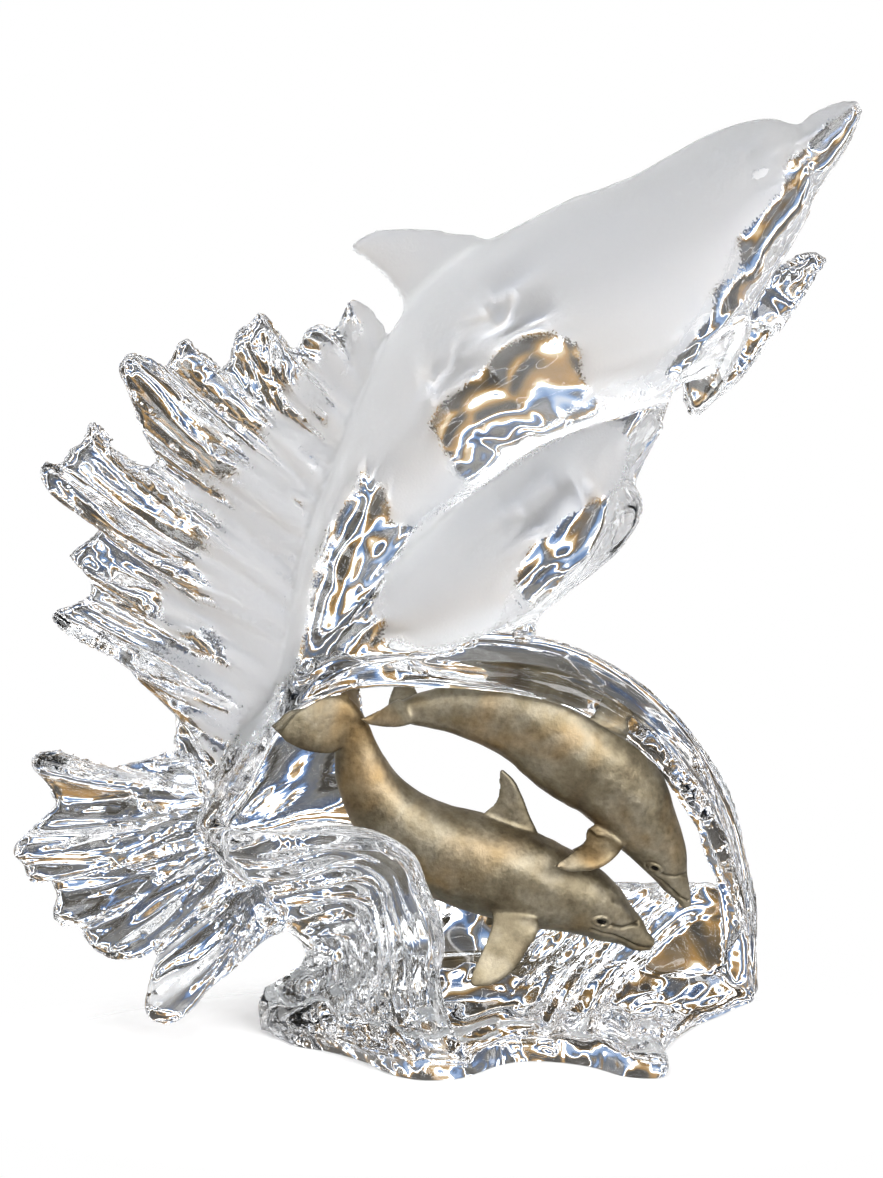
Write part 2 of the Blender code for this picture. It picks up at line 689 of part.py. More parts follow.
def fuse(thing, voxel, smoothing, triangles):
    """Melts the overlapping shells into one skin, rounds the joins and thins the mesh."""
    melt = thing.modifiers.new("melt", "REMESH")
    melt.mode = "VOXEL"
    melt.voxel_size = voxel * MM
    ease = thing.modifiers.new("ease", "SMOOTH")
    ease.factor = 0.5
    ease.iterations = smoothing
    bpy.context.view_layer.update()
    graph = bpy.context.evaluated_depsgraph_get()
    skin = thing.evaluated_get(graph).data
    skin.calc_loop_triangles()
    thin = thing.modifiers.new("thin", "DECIMATE")
    thin.ratio = triangles / len(skin.loop_triangles)


def cut(thing, cutter):
    cutter.hide_render = True
    cutter.display_type = "WIRE"
    knife = thing.modifiers.new("cut " + cutter.name, "BOOLEAN")
    knife.operation = "DIFFERENCE"
    knife.solver = "EXACT"
    knife.object = cutter


def metal_shells(stations, back_fin, breast_fins, flukes):
    shells = [body_shell(stations), blade_shell(back_fin, BACK_FIN_HALF)]
    shells += [blade_shell(fin, BREAST_FIN_HALF) for fin in breast_fins]
    shells += [blade_shell(fluke, FLUKE_HALF) for fluke in flukes]
    return shells


def acrylic_shells():
    return [
        body_shell(LEAPER, rings=90, sides=40),
        blade_shell(LEAPER_BACK_FIN, LEAPER_BACK_FIN_HALF, rings=30),
        blade_shell(LEAPER_NEAR_FIN, LEAPER_NEAR_FIN_HALF, rings=24),
        blade_shell(LEAPER_FAR_FIN, LEAPER_FAR_FIN_HALF, rings=24),
        water_band(WEB_TOP, WEB_EDGE, 30, 12, (0, 0, 0)),
        body_shell(SWELL, rings=60, sides=32),
        body_shell(SWELL_LIP, rings=60, sides=20),
        water_band(RIBBON_FRONT, RIBBON_BACK, 110, 20, (0, 0, 2)),
        water_band(WALL_TOP, WALL_FOOT, 50, 24, (0, 3, 0)),
        spray_fan(UPPER_ROOT, UPPER_FINGERS, 260, 50, UPPER_PLEATS),
        spray_fan(LOWER_ROOT, LOWER_FINGERS, 200, 40, LOWER_PLEATS),
        crest_shell(),
        foot_shell(),
    ]


def underside_cutter(collection):
    """Block whose top is the ground, for the flat underside."""
    bpy.ops.mesh.primitive_cube_add(size=1, location=(0, 0, -GROUND_BLOCK[2] / 2 * MM))
    block = bpy.context.object
    block.name = "underside_cutter"
    block.scale = [size * MM for size in GROUND_BLOCK]
    for other in block.users_collection:
        other.objects.unlink(block)
    collection.objects.link(block)
    return block


def seat_cutter(dolphin, collection):
    """The metal dolphin a little swollen, for the seat that it leaves in the acrylic."""
    seat = dolphin.copy()
    seat.data = dolphin.data.copy()
    seat.name = dolphin.name + "_seat"
    swell = seat.modifiers.new("swell", "DISPLACE")
    swell.strength = SEAT_GAP * MM
    swell.mid_level = 0
    collection.objects.link(seat)
    return seat


def main():
    clear_scene()
    parts = bpy.data.collections.new("acrylic_dolphin_sculpture")
    cutters = bpy.data.collections.new("cutters")
    for collection in (parts, cutters):
        bpy.context.scene.collection.children.link(collection)

    clear_acrylic = part_material("clear cast acrylic", "F4F7F9", 0.05, 0.0, 1.0)
    cast_metal = part_material("patinated cast bronze", "8C826B", 0.38, 1.0, 0.0)

    lower = add_object(
        "lower_metal_dolphin",
        metal_shells(
            LOWER_DOLPHIN,
            LOWER_BACK_FIN,
            (LOWER_NEAR_FIN, LOWER_FAR_FIN),
            (LOWER_NEAR_FLUKE, LOWER_FAR_FLUKE),
        ),
        parts,
        cast_metal,
    )
    upper = add_object(
        "upper_metal_dolphin",
        metal_shells(
            UPPER_DOLPHIN,
            UPPER_BACK_FIN,
            (UPPER_NEAR_FIN, UPPER_FAR_FIN),
            (UPPER_NEAR_FLUKE, UPPER_FAR_FLUKE),
        ),
        parts,
        cast_metal,
    )
    for dolphin in (lower, upper):
        fuse(dolphin, METAL_VOXEL, 2, METAL_TRIANGLES)

    acrylic = add_object("acrylic_wave_and_dolphin", acrylic_shells(), parts, clear_acrylic)
    fuse(acrylic, CASTING_VOXEL, 2, CASTING_TRIANGLES)
    cut(acrylic, underside_cutter(cutters))
    for dolphin in (lower, upper):
        cut(acrylic, seat_cutter(dolphin, cutters))


main()
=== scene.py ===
"""Looks of a cast acrylic sculpture: a dolphin leaping from a breaking wave over two metal dolphins.

The acrylic is one casting. It is polished clear on the tips of the spray, the arching ribbon, the
breaking wave and the foot, and sandblasted to a soft white on the leaping dolphin, on the swell below
it and at the root of the upper spray. Every size is in millimetres unless a name says otherwise.
The front is -Y and the ground is z = 0.
"""

import math
from contextlib import contextmanager

import bmesh
import bpy
import numpy as np
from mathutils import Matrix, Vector
from mathutils.kdtree import KDTree


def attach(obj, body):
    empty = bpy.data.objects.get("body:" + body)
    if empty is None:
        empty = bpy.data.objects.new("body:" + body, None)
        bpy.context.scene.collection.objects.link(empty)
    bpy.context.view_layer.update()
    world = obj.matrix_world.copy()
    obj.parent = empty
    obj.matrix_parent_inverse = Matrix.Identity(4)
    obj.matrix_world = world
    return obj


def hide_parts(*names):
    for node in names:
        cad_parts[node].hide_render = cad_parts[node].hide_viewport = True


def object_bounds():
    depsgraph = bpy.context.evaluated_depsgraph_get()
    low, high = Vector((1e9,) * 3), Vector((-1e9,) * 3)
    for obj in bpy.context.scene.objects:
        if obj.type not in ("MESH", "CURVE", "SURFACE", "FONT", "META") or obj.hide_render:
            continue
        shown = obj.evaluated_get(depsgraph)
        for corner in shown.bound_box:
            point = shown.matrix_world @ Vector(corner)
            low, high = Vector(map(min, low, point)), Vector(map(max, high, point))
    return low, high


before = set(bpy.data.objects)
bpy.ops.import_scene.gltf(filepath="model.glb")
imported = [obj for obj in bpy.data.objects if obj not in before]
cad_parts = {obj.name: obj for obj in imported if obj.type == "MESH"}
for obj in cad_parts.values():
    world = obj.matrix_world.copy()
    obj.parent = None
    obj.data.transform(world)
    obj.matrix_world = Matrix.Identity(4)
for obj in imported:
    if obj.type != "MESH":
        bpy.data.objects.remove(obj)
cad_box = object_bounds()

MM = 0.001
ACROSS = np.array([0.0, 1.0, 0.0])

# Camera: how far off it stands, how steeply it looks down, where it looks, the height it takes in
CAMERA_DISTANCE = 1800.0
CAMERA_DROP = math.radians(15)
CAMERA_AIM = (-26.3, 0.0, 212.0)
VIEW_HEIGHT = 530.1
SENSOR = 36.0

ACRYLIC_VOXEL = 2.03
METAL_VOXEL = 0.59

# Sheets and fins: least radius of a point, least half thickness of water, share of a sheet's edge
# that is rounded off and where that round stops short of nothing, how a fin thins
LEAST_RADIUS = 0.3
LEAST_HALF = 1.0
RIM_SHARE = 0.1
ROUND_STOP = 0.985
BLADE_TAPER = 0.8
BLADE_FRONT = 1.25
BLADE_REAR = 0.70

# Fans of spray: share of the edge that one finger takes, how far it stands off the rest, how much
# thicker it is, the rounded edges, how far the fan is dished, and its pleats: how many there are, how
# far fingers and pleats stand off, the pleats' share of that, and how they lean
FINGER_SHARE = 0.16
FINGER_RISE = 7.0
FINGER_PLUMP = 0.45
FAN_RIM_SHARE = 0.06
FAN_END_SHARE = 0.02
FAN_DISH = 3.0
UPPER_PLEATS = 17
LOWER_PLEATS = 13
PLEAT_HEIGHT = 2.6
PLEAT_SHARE = 0.5
PLEAT_LEAN = 3.0

# Fine relief of the water. A ripple is how far it stands off and how wide its humps are. Folds have
# a share of their height at a fan's root, and all of it some way out
FOLD_START = 0.6
FOLD_FULL = 0.35
FOLD_HEIGHT = 1.5
FOLD_WIDTH = 13.0
FOLD_FULLNESS = 0.75
FOLD_WANDER = (0.7, (30, 60))
FOLD_RIPPLE = (0.55, (10.0, 30.0))
WALL_RIPPLE = (1.6, (14.0, 32.0))
WALL_FADE = 0.15
WEB_RIPPLE = (0.8, (14.0, 9.0))

# Wrinkles of the leaper where it is clear, large and small, their share on its front and how far
# behind its middle plane they are whole
BODY_WRINKLE = (1.6, 20.0)
BODY_PUCKER = (0.25, 9.0)
BODY_FRONT_SHARE = 0.3
BODY_BACK = 12.0

# Ribbon, in shares of its width and length: beads along its edges, a slow swell, a twist down its
# right leg, and the saddle that sags onto the upper dolphin, deeper over its tail
BEAD_LINES = (0.12, 0.88)
BEAD_WIDTH = 0.08
RIBBON_BEAD = 1.3
RIBBON_SWELL = (0.5, (20, 50))
TWIST_HEIGHT = 0.9
TWIST_ACROSS = 2.5
TWIST_ALONG = 3.5
TWIST_WANDER = (0.4, (25, 60))
TWIST_START = (0.55, 0.75)
SADDLE_DEPTH = 5.0
SADDLE_TAIL = 3.0
SADDLE_TAIL_END = (0.36, 0.48)
SADDLE_START = (0.27, 0.34)
SADDLE_END = (0.58, 0.66)
SADDLE_MIDDLE = 0.45
SADDLE_WIDTH = 0.3

# Foot: how far its side runs below the ground before the cut, its height at the front and back, how
# it sweeps up between them, how low its left end is, and where it is drawn in to
FOOT_DEPTH = 4.0
FRONT_HEIGHT = 13.0
BACK_HEIGHT = 51.0
FRONT_Y = -34.0
FRONT_TO_BACK = 92.0
SWEEP = 1.7
LEFT_END = 0.5
LEFT_END_X = -70.0
LEFT_END_LENGTH = 60.0
FOOT_MIDDLE = (10.0, 8.0)
# How far the foot's side is rounded in, and where on that round it meets the ground
ROUND_IN = 5.0
ROUND_FROM = math.radians(-75)
# Low shore along the foot's right front: its height, and how far in the foot has its full height
SHORE_HEIGHT = 7.0
SHORE_WIDTH = 32.0
# Ridges on the foot: how far they stand off, how sharp they are, how they swing right as they run back
RIDGE_HEIGHT = 2.4
RIDGE_SHARPNESS = 0.8
RIDGE_SWING = 40.0
RIDGE_FRONT_Y = -40.0
RIDGE_REACH = 75.0
RIDGE_X = 5.0
RIDGE_FADE = 15.0
RIDGE_STREAK = (0.4, (6.0, 40.0))
RIDGE_INSET = 12.0
# Lumps round the foot's side, then a bead that runs just inside its edge with a trough behind it,
# lumps along that bead and a slow swell, all of which fade out from the front to the middle
LUMP_DEPTH = 1.8
SIDE_LUMP = (1.0, (11.0, 11.0, 9.0))
SIDE_RISE = 9.0
SHORE_BEAD = 1.8
SHORE_BEAD_INSET = 8.0
SHORE_BEAD_WIDTH = 4.0
SHORE_BEAD_START = 3.0
TROUGH_INSET = 19.0
TROUGH_WIDTH = 7.0
EDGE_LUMP = (1.3, 14.0)
EDGE_LUMP_REACH = 14.0
FRONT_SWELL = (1.5, (17.0, 12.0))
FRONT_SWELL_INSET = (4.0, 12.0)
FRONT_FADE = (10.0, -15.0)

# Leaping dolphin: x, y, z of its centre line from beak to tail, half height, half width
LEAPER = [
    (155.4, -4, 432.0, 0.6, 0.6), (154.4, -4, 431.0, 3.0, 2.8), (152, -4, 428.7, 5.3, 4.6),
    (148, -4, 425, 8.2, 6.0), (143, -4, 420, 10.6, 7.5), (134, -4, 411, 14.0, 11.0),
    (124, -4, 405.5, 22.5, 17.0), (111, -4, 396, 29.5, 22), (96, -4, 382.5, 35, 27),
    (79, -4, 365.5, 42.3, 33), (59.5, -4, 350, 48.3, 38), (34.5, -4, 338, 47.8, 39),
    (10, -4, 327, 45.5, 37), (-13, -4, 309.5, 42, 33), (-32, -4, 286, 34, 27), (-48, -4, 263, 27, 22),
    (-62.5, -5, 239.5, 21.5, 17.5), (-72, -6, 218.5, 18, 14), (-80.5, -8, 196.5, 13.4, 11),
    (-92, -11, 170, 7.5, 8), (-106, -14, 146, 5.5, 7), (-119, -15, 123, 5, 7), (-131, -16, 103, 5.5, 8),
]
# Fins: points of the leading edge, then of the trailing edge, root first
LEAPER_BACK_FIN = (
    [(8, -4, 362), (-2, -4, 370.5), (-22.5, -4, 375), (-44.5, -4, 377), (-60, -4, 374), (-67, -4, 368.5)],
    [
        (-36, -4, 325), (-43.5, -4, 334), (-43.5, -4, 342), (-47.5, -4, 350.5), (-56, -4, 360),
        (-66, -4, 367),
    ],
)
LEAPER_NEAR_FIN = (
    [(104, -14, 352), (109, -25, 338), (102, -31, 322), (92, -36, 306), (85, -38, 300)],
    [(70, -14, 332), (74, -27, 322), (78, -34, 312), (79, -37, 305), (82, -38, 299)],
)
LEAPER_FAR_FIN = (
    [(112, 8, 362), (124, 15, 357), (134, 21, 360), (140, 25, 360), (144, 26, 358)],
    [(88, 8, 330), (112, 14, 328), (128, 20, 336), (137, 24, 347), (143, 26, 355)],
)

# Sheet of water hanging between the leaper's breast fins
WEB_TOP = [(74, -22, 330, 4), (88, -10, 332, 5), (100, 2, 338, 5), (112, 10, 346, 4), (124, 16, 354, 3)]
WEB_EDGE = [
    (85, -37, 300, 3), (102, -22, 310, 3), (117, -2, 322, 3), (131, 16, 336, 3), (143, 25, 353, 2.5),
]

# Swell of water below the belly, run into the tail, then the lumpy lip along its right side
SWELL = [
    (73, -4, 306, 5, 6), (65, -4, 297, 10, 12), (51, -4, 282, 17, 19), (35, -4, 265, 26, 26),
    (18, -4, 244, 29, 30), (-2, -4, 228, 30, 30), (-24, -4, 213, 26, 26), (-45, -4, 201, 19, 20),
    (-64, -5, 191, 13, 14), (-82, -8, 176, 9, 11),
]
SWELL_LIP = [
    (69, -16, 294, 4, 5), (59, -19, 281, 6, 7), (53, -20, 268, 4.5, 6), (56, -18, 255, 7, 8),
    (51, -16, 242, 6, 7), (38, -14, 230, 7.5, 8), (25, -12, 217, 6, 7), (13, -10, 204, 5, 6),
    (10, -8, 190, 6, 7),
]

# Arching ribbon: its front edge and its back edge from the tail to the foot, with half thickness
RIBBON_FRONT = [
    (-133, -16, 101, 4), (-104, -17, 152, 4), (-76, -20, 171, 4.2), (-49, -20, 175.5, 4.5),
    (-13.5, -20, 174.5, 4.5), (27, -20, 166.5, 4.5), (63.5, -12, 142.5, 4.5), (92.5, 2, 101.5, 4.5),
    (107, 18, 57, 4.5), (112.5, 33, 12, 5), (113, 36, -4, 6),
]
RIBBON_BACK = [
    (-126, 4, 112, 4), (-98, 14, 160, 4), (-70, 20, 174, 4.5), (-45, 22, 178, 5), (-10, 22, 182, 5),
    (32, 22, 176, 5), (67, 26, 154, 5), (99, 36, 110, 5), (114, 47, 62, 5), (119, 58, 14, 5.5),
    (120, 60, -4, 6),
]

# Rippled wall of water behind the lower dolphin's tail
WALL_TOP = [(-133, -8, 104, 5), (-106, 8, 150, 5), (-84, 15, 168, 5), (-66, 18, 174, 5)]
WALL_FOOT = [(-128, -8, 96, 6), (-104, 12, 94, 6), (-80, 18, 95, 6), (-55, 20, 92, 6)]

# Upper fan of spray: its root up the leaper's tail, then its fingers and notches, top to bottom
UPPER_ROOT = [
    (-52, 8, 316, 9), (-66, 8, 272, 10), (-80, 8, 236, 10), (-88, 5, 208, 10), (-98, 1, 176, 10),
    (-110, -2, 146, 9), (-124, -5, 118, 8),
]
UPPER_FINGERS = [
    (-51, 8, 330, 4), (-58, 9, 338.5, 4), (-67.5, 10, 342, 4.5), (-70.5, 12, 335, 4),
    (-74, 15, 328.5, 3.5), (-81, 19, 329.5, 4), (-86.5, 19, 327, 3.5), (-90.5, 16, 321, 3),
    (-94.5, 14, 316.5, 3), (-98, 12, 322, 3.5), (-102, 9, 331, 4.5), (-107, 8, 337.5, 5),
    (-111, 9, 333, 4.5), (-117, 11, 329, 4), (-119.5, 13, 321.5, 4), (-123, 15, 312.5, 3.5),
    (-129, 16, 307.5, 3), (-134, 18, 310.5, 3.5), (-137, 20, 316, 4), (-139.5, 21, 323, 4.8),
    (-144, 21, 321, 4.5), (-149.5, 16, 312, 4), (-156.5, 11, 316, 4), (-166, 7, 319, 5),
    (-170, 7, 313, 5), (-167, 8, 304, 4.5), (-164, 10, 293.5, 4), (-162, 12, 284, 3.5),
    (-157, 14, 266, 3), (-162, 15, 264, 3), (-171, 17, 267.5, 3.5), (-177, 19, 273.5, 3.5),
    (-181, 21, 283.5, 4.5), (-184, 21, 285, 4.5), (-186.5, 20, 280.5, 3.5), (-188.5, 17, 275.5, 3.5),
    (-193, 14, 274, 4), (-198, 9, 268, 4), (-203.5, 5, 270, 4.5), (-206, 5, 265.5, 4.5),
    (-204, 7, 259, 4.5), (-196, 9, 251, 4), (-188, 11, 244.5, 3.5), (-182, 14, 236.5, 3),
    (-187.5, 16, 230, 3.5), (-195, 17, 223, 3.5), (-190, 15, 218, 3.5), (-186, 12, 208, 3),
    (-192, 9, 202.5, 3.5), (-203, 5, 199.5, 4), (-198.5, 5, 194, 4), (-186, 6, 188, 4),
    (-177.5, 7, 181, 4), (-170.5, 8, 176.5, 4), (-165, 8, 167.5, 4), (-155, 8, 160, 4),
    (-149, 7, 153, 4.5), (-148, 5, 142.5, 4.5), (-150, 3, 137, 5),
]

# Lower fan of spray, from the waist between the two fans round to the wave's hollow
LOWER_ROOT = [
    (-138, 0, 130, 8), (-131, -6, 112, 8), (-123, -10, 94, 8), (-112, -12, 78, 8), (-98, -13, 63, 7),
]
LOWER_FINGERS = [
    (-150, -1, 136, 5), (-161.5, -3, 132, 5), (-173, -4, 130.5, 4.5), (-187.5, -6, 134.5, 4),
    (-204, -9, 139, 4.5), (-210.5, -10, 138, 4.5), (-211.5, -10, 133, 4.5), (-208, -9, 127, 4),
    (-204, -8, 118, 3.5), (-202.5, -8, 112, 3.5), (-209, -10, 105.5, 4), (-219, -13, 97, 5),
    (-221, -13, 93, 5), (-216.5, -13, 86, 4.5), (-214, -12, 78.5, 4), (-205, -9, 76, 3.5),
    (-203, -11, 69.5, 4), (-203.5, -14, 61.5, 4.5), (-199, -16, 58, 4.5), (-193, -17, 58, 4),
    (-190, -15, 51.5, 4), (-185, -13, 45.5, 4), (-177, -13, 41.5, 4.5), (-168, -14, 40.5, 5),
    (-162, -13, 42.5, 4.5), (-158, -10, 47.5, 3.5), (-155, -8, 54, 3), (-157, -11, 42, 4),
    (-161, -16, 26.5, 5.5), (-162, -19, 19.5, 6), (-157, -20, 14.5, 6.5), (-150, -20, 13.5, 6.5),
    (-143, -19, 17, 6), (-132, -17, 28.5, 5.5), (-121, -15, 36.5, 5), (-111, -13, 46.5, 4.5),
    (-99, -11, 51, 4.5),
]

# Breaking wave at the front left: its lip, its hollow left end, its rim on the ground
CREST_LIP = [
    (-131, -24, 104, 6), (-108, -34, 106, 6), (-76, -41, 109.5, 5.5), (-52, -43, 107.5, 5),
    (-40, -44, 100, 4.5), (-34, -46, 86, 4.5), (-28, -48, 71, 4.5), (-26, -48, 58, 4.5),
    (-28.5, -47, 46, 5), (-25, -49, 28, 6), (-14, -58.5, 6, 7),
]
CREST_HOLLOW_END = [
    (-131, -24, 104, 6), (-118, -14, 77, 6), (-98, -11, 57, 5), (-90, -12, 51.5, 4.5),
    (-86, -12, 45.5, 4.5), (-85.5, -12, 39.5, 4.5), (-88.5, -12, 32.5, 4.5), (-94, -12, 28, 4.5),
    (-100, -11, 24.5, 4.5), (-104.5, -10, 21, 5), (-107, -9, 16.5, 5), (-107, -8, 10, 6),
    (-104, -8, 3, 7),
]
CREST_RIM = [
    (-14, -58.5, 6, 7), (-34, -59.5, 4, 7), (-46, -54.5, 4, 7), (-72, -32, 3, 7), (-92, -18, 3, 7),
    (-104, -8, 3, 7),
]

# Plan of the foot, x and y, anticlockwise from its left end
FOOT_PLAN = [
    (-110, 4), (-96, -19), (-72, -31), (-40, -62.5), (-26, -63.5), (9, -41.5), (41, -46.5), (62, -60.5),
    (73, -60.5), (78, -28), (90, 0), (112, 26), (124, 44), (121, 62), (80, 66), (20, 70), (-40, 66),
    (-86, 44),
]
SHORE = [(77, -38), (78, -28), (90, 0), (112, 26), (124, 44)]
RIDGE_STARTS = [-90, -66, -45, -27, -12, 2, 17, 27, 44, 72, 112]

# Metal dolphins: centre line from beak to tail, half height, half width
LOWER_DOLPHIN = [
    (71, 0, 42, 2.4, 2.0), (65, 0, 45, 5.8, 4.0), (60, 0, 49.5, 8.2, 6.0), (53, 0, 54.5, 11.6, 9.6),
    (44, 0, 61, 15, 13), (32, 0, 67, 18.4, 16), (18.5, 0, 72, 21, 18), (2.5, 0, 78, 22.6, 19.5),
    (-13.5, 0, 83.5, 22.6, 19.5), (-31.5, 0, 90.5, 21, 17.5), (-46.5, 0, 101.5, 18, 14),
    (-57, 0, 114.5, 15, 11), (-63, 0, 128, 12.2, 8), (-66, 0, 141, 9.2, 6), (-69, 0, 152, 6.8, 5),
    (-71, 0, 159, 4, 4),
]
LOWER_BACK_FIN = (
    [(20, 0, 89.5), (17.5, 0, 97.5), (14, 0, 105.5), (10, 0, 115.5), (5.5, 0, 123), (1.5, 0, 126.5)],
    [(-14, 0, 97.5), (-6, 0, 107), (-1.5, 0, 111.5), (0, 0, 117.5), (0, 0, 122.5), (0.5, 0, 126)],
)
LOWER_BREAST_FINS = [
    (
        [(17, -12, 63), (18, -18, 57.5), (12.5, -23, 47.5), (4.5, -28, 38.5), (-5, -32, 34), (-12, -33, 34)],
        [(-4, -12, 66), (-3.5, -18, 59.5), (-6, -23, 53), (-10, -28, 45), (-13, -32, 39), (-13.6, -33, 36)],
    ),
    (
        [(21, 13, 61.5), (21, 18, 56.5), (16, 23, 50.5), (9, 27, 45.5), (1, 30, 42), (-4, 31, 41)],
        [(0, 13, 63.5), (0, 18, 58), (-1, 23, 53.5), (-3, 27, 48.5), (-5, 30, 44.5), (-5.5, 31, 42)],
    ),
]
LOWER_FLUKES = [
    (
        [(-66, -2, 146), (-73.5, -6, 137.5), (-84, -11, 138.5), (-95, -14, 143.5), (-102, -15, 151)],
        [(-69, 0, 163), (-77, -5, 163), (-87, -10, 162.5), (-97, -14, 158.5), (-102.5, -15, 152.5)],
    ),
    (
        [(-66, 2, 146), (-63.5, 8, 151.5), (-65, 13, 156.5), (-63, 18, 161.5), (-58, 23, 166)],
        [(-71, 0, 161.5), (-72, 6, 163.5), (-70, 12, 165.5), (-66, 17, 167), (-59, 23, 167)],
    ),
]
UPPER_DOLPHIN = [
    (86.5, -2, 61.3, 2.2, 2.0), (84, -2, 67.8, 4.5, 3.8), (80, -2, 74.8, 7, 5.8),
    (76.5, -2, 82.8, 10.3, 8.6), (72, -2, 91.8, 13.3, 11.2), (65.5, -2, 102.6, 16.6, 14),
    (58.5, -2, 114, 19.4, 16), (48.5, -2, 125.8, 21.8, 17.5), (33.5, -2, 135.7, 22.5, 17.5),
    (18, -2, 148.1, 21.6, 16), (0.3, -2, 154.2, 17.6, 13), (-16.7, -2, 156.2, 13, 9.5),
    (-32, -2, 156, 8.7, 6.5), (-44, -2, 154.8, 5, 4.5), (-51, -2, 153.3, 3, 3.5),
]
UPPER_BACK_FIN = (
    [(63, -2, 128), (61, -2, 139), (58, -2, 148.5), (53, -2, 155), (46, -2, 160)],
    [(34, -2, 144), (39, -2, 149), (41.5, -2, 153), (42.5, -2, 156.5), (43.5, -2, 159.5)],
)
UPPER_BREAST_FINS = [
    (
        [
            (62, -8, 99), (56, -13, 93.6), (54, -18, 92.3), (46, -24, 88.1), (38, -27, 87.1),
            (30, -30, 88.1), (25.5, -31, 90.6),
        ],
        [
            (50, -7, 106), (40, -11, 101.6), (38.5, -17, 98.3), (34.5, -23, 96.6), (31, -27, 95.1),
            (27.5, -30, 93.6), (25.2, -31, 91.9),
        ],
    ),
    (
        [(57, 3, 97.3), (54, 8, 89.3), (48, 14, 82.8), (42, 18, 79.8), (35, 22, 79.3)],
        [(45, 3, 103.3), (44, 8, 95.8), (41, 14, 89.8), (38, 18, 84.8), (34, 22, 80.8)],
    ),
]
UPPER_FLUKES = [
    (
        [(-36, -4, 151.3), (-44.5, -10, 150.6), (-54, -17, 152.5), (-60, -22, 155.7), (-62.5, -23.5, 157.8)],
        [(-46, -3, 161.3), (-49, -9, 161.3), (-54, -17, 160.4), (-60, -22, 158.7), (-62.5, -23.5, 158.3)],
    ),
    (
        [(-34, -1, 153.8), (-36, 4, 157.3), (-38, 9, 161), (-41, 14, 165), (-44, 16, 167)],
        [(-51, -1, 156.3), (-50.5, 3, 158.8), (-49, 8, 162), (-47, 14, 165.5), (-45, 16, 167.2)],
    ),
]

# Breaking wave: how far and how fully it is hollowed, its least half thickness, the rounded share of
# its rim, its width and length, and the combed ridges with ripples that calm down at its left end
CREST_HOLLOW = 24.0
CREST_FULLNESS = 0.8
CREST_LEAST = 4.0
CREST_LEAST_COMBED = 1.5
CREST_RIM_SHARE = 0.05
CREST_WIDTH = 120.0
CREST_LENGTH = 150.0
CREST_RIPPLE = (1.2, (10.0, 20.0))
COMB_HEIGHT = 1.9
COMB_COUNT = 12
COMB_WANDER = (0.5, (30, 40))
COMB_START = (0.08, 0.3)
COMB_CALM = (0.3, 0.45)
COMB_TOP = 0.2

# Sandblasted areas as the front shows them: x, and z at the middle plane along the line of sight
FROSTED_LEAPER = [
    (157, 433), (150, 423), (142, 420), (134, 411), (126, 405), (122, 401), (121, 390), (116, 387),
    (111, 378), (102, 367), (98, 354), (91, 345), (86, 337), (76, 320), (65, 309), (44, 301), (26, 288),
    (9, 275), (-10, 260), (-27, 250), (-41, 238), (-49, 225), (-54, 204), (-70, 193), (-86, 192),
    (-95, 172), (-105, 153), (-115, 138), (-120, 146), (-99, 200), (-80, 281), (-62, 331), (-90, 380),
    (40, 420), (110, 450), (165, 450),
]
CLEAR_WINDOW = [
    (-31, 288), (-23, 297), (-15, 304), (-1, 317), (10, 325), (23, 326), (31, 319), (39, 301),
    (18, 283), (-4, 266), (-15, 260), (-23, 266), (-28, 277),
]
CLEAR_STEM = [
    (-84, 224), (-76, 239), (-68, 250), (-60, 263), (-53, 259), (-49, 243), (-40, 240), (-49, 225),
    (-54, 204), (-70, 188), (-88, 188), (-85, 207),
]
FROSTED_SPRAY = [
    (-67, 312), (-78, 305), (-92, 288), (-106, 275), (-117, 267), (-128, 256), (-131, 245), (-132, 232),
    (-137, 225), (-140, 212), (-146, 198), (-140, 188), (-136, 181), (-135, 167), (-135, 151),
    (-131, 140), (-119, 135), (-108, 150), (-95, 183), (-84, 225), (-69, 276), (-57, 308),
]
FROSTED_SWELL = [
    (-52, 223), (-40, 239), (-27, 250), (-9, 260), (18, 277), (44, 290), (57, 281), (55, 262),
    (45, 251), (29, 244), (12, 227), (3, 207), (-4, 192), (-31, 184), (-54, 188), (-52, 207),
]
# Slope of the line of sight, the leaper's middle plane, then how wide and how ragged the border of
# the sandblasting is on the body and on the spray
SIGHT_SLOPE = 0.268
BODY_PLANE = -4.0
FROST_EDGE = 5.0
BODY_RAGGED = (1.2, 9.0)
SPRAY_FROST_EDGE = 15.0
SPRAY_RAGGED = (12.0, (6.0, 25.0))

# Heads, seen from the side: lines of creases and mouths with their depth and width, and eyes with
# their middle, half length and half height, and tilt
LEAPER_MARKS = [
    (
        [(152, 434.7), (146.7, 425.2), (139.8, 421.7), (129.6, 412.1), (123.2, 406.4), (118, 402.5)],
        1.0,
        1.2,
    ),
    ([(131, 424), (127, 417), (124.5, 409)], 1.2, 3.0),
]
LEAPER_EYE = ((111.3, 404.6), (3.4, 2.0), 0.3)
LOWER_MARKS = [
    ([(42.3, 53.7), (47.7, 50.9), (53.0, 49.2), (59.5, 45.2), (64.9, 42.3), (73, 40.6)], 1.2, 0.65),
    ([(50.8, 55.2), (56.2, 53.2), (63.6, 54.6)], 1.0, 0.9),
    ([(63.7, 54.3), (60.6, 60.5), (56.1, 66.2), (52.8, 67.3)], 0.5, 1.2),
]
LOWER_EYE = ((46.9, 57.6), (3.6, 2.1), -0.25)
LOWER_PLANE = 0.0
UPPER_MARKS = [
    ([(67.9, 79.4), (74.4, 76), (78.2, 72), (82.6, 67.4), (86.9, 65.3)], 1.1, 0.6),
    ([(74.3, 79.5), (80.2, 78.4), (86, 78.8)], 0.8, 0.8),
    ([(42, 101.8), (44.5, 100.2), (47, 99.9)], 0.5, 0.6),
]
UPPER_EYE = ((70.9, 82.7), (2.9, 1.8), -0.45)
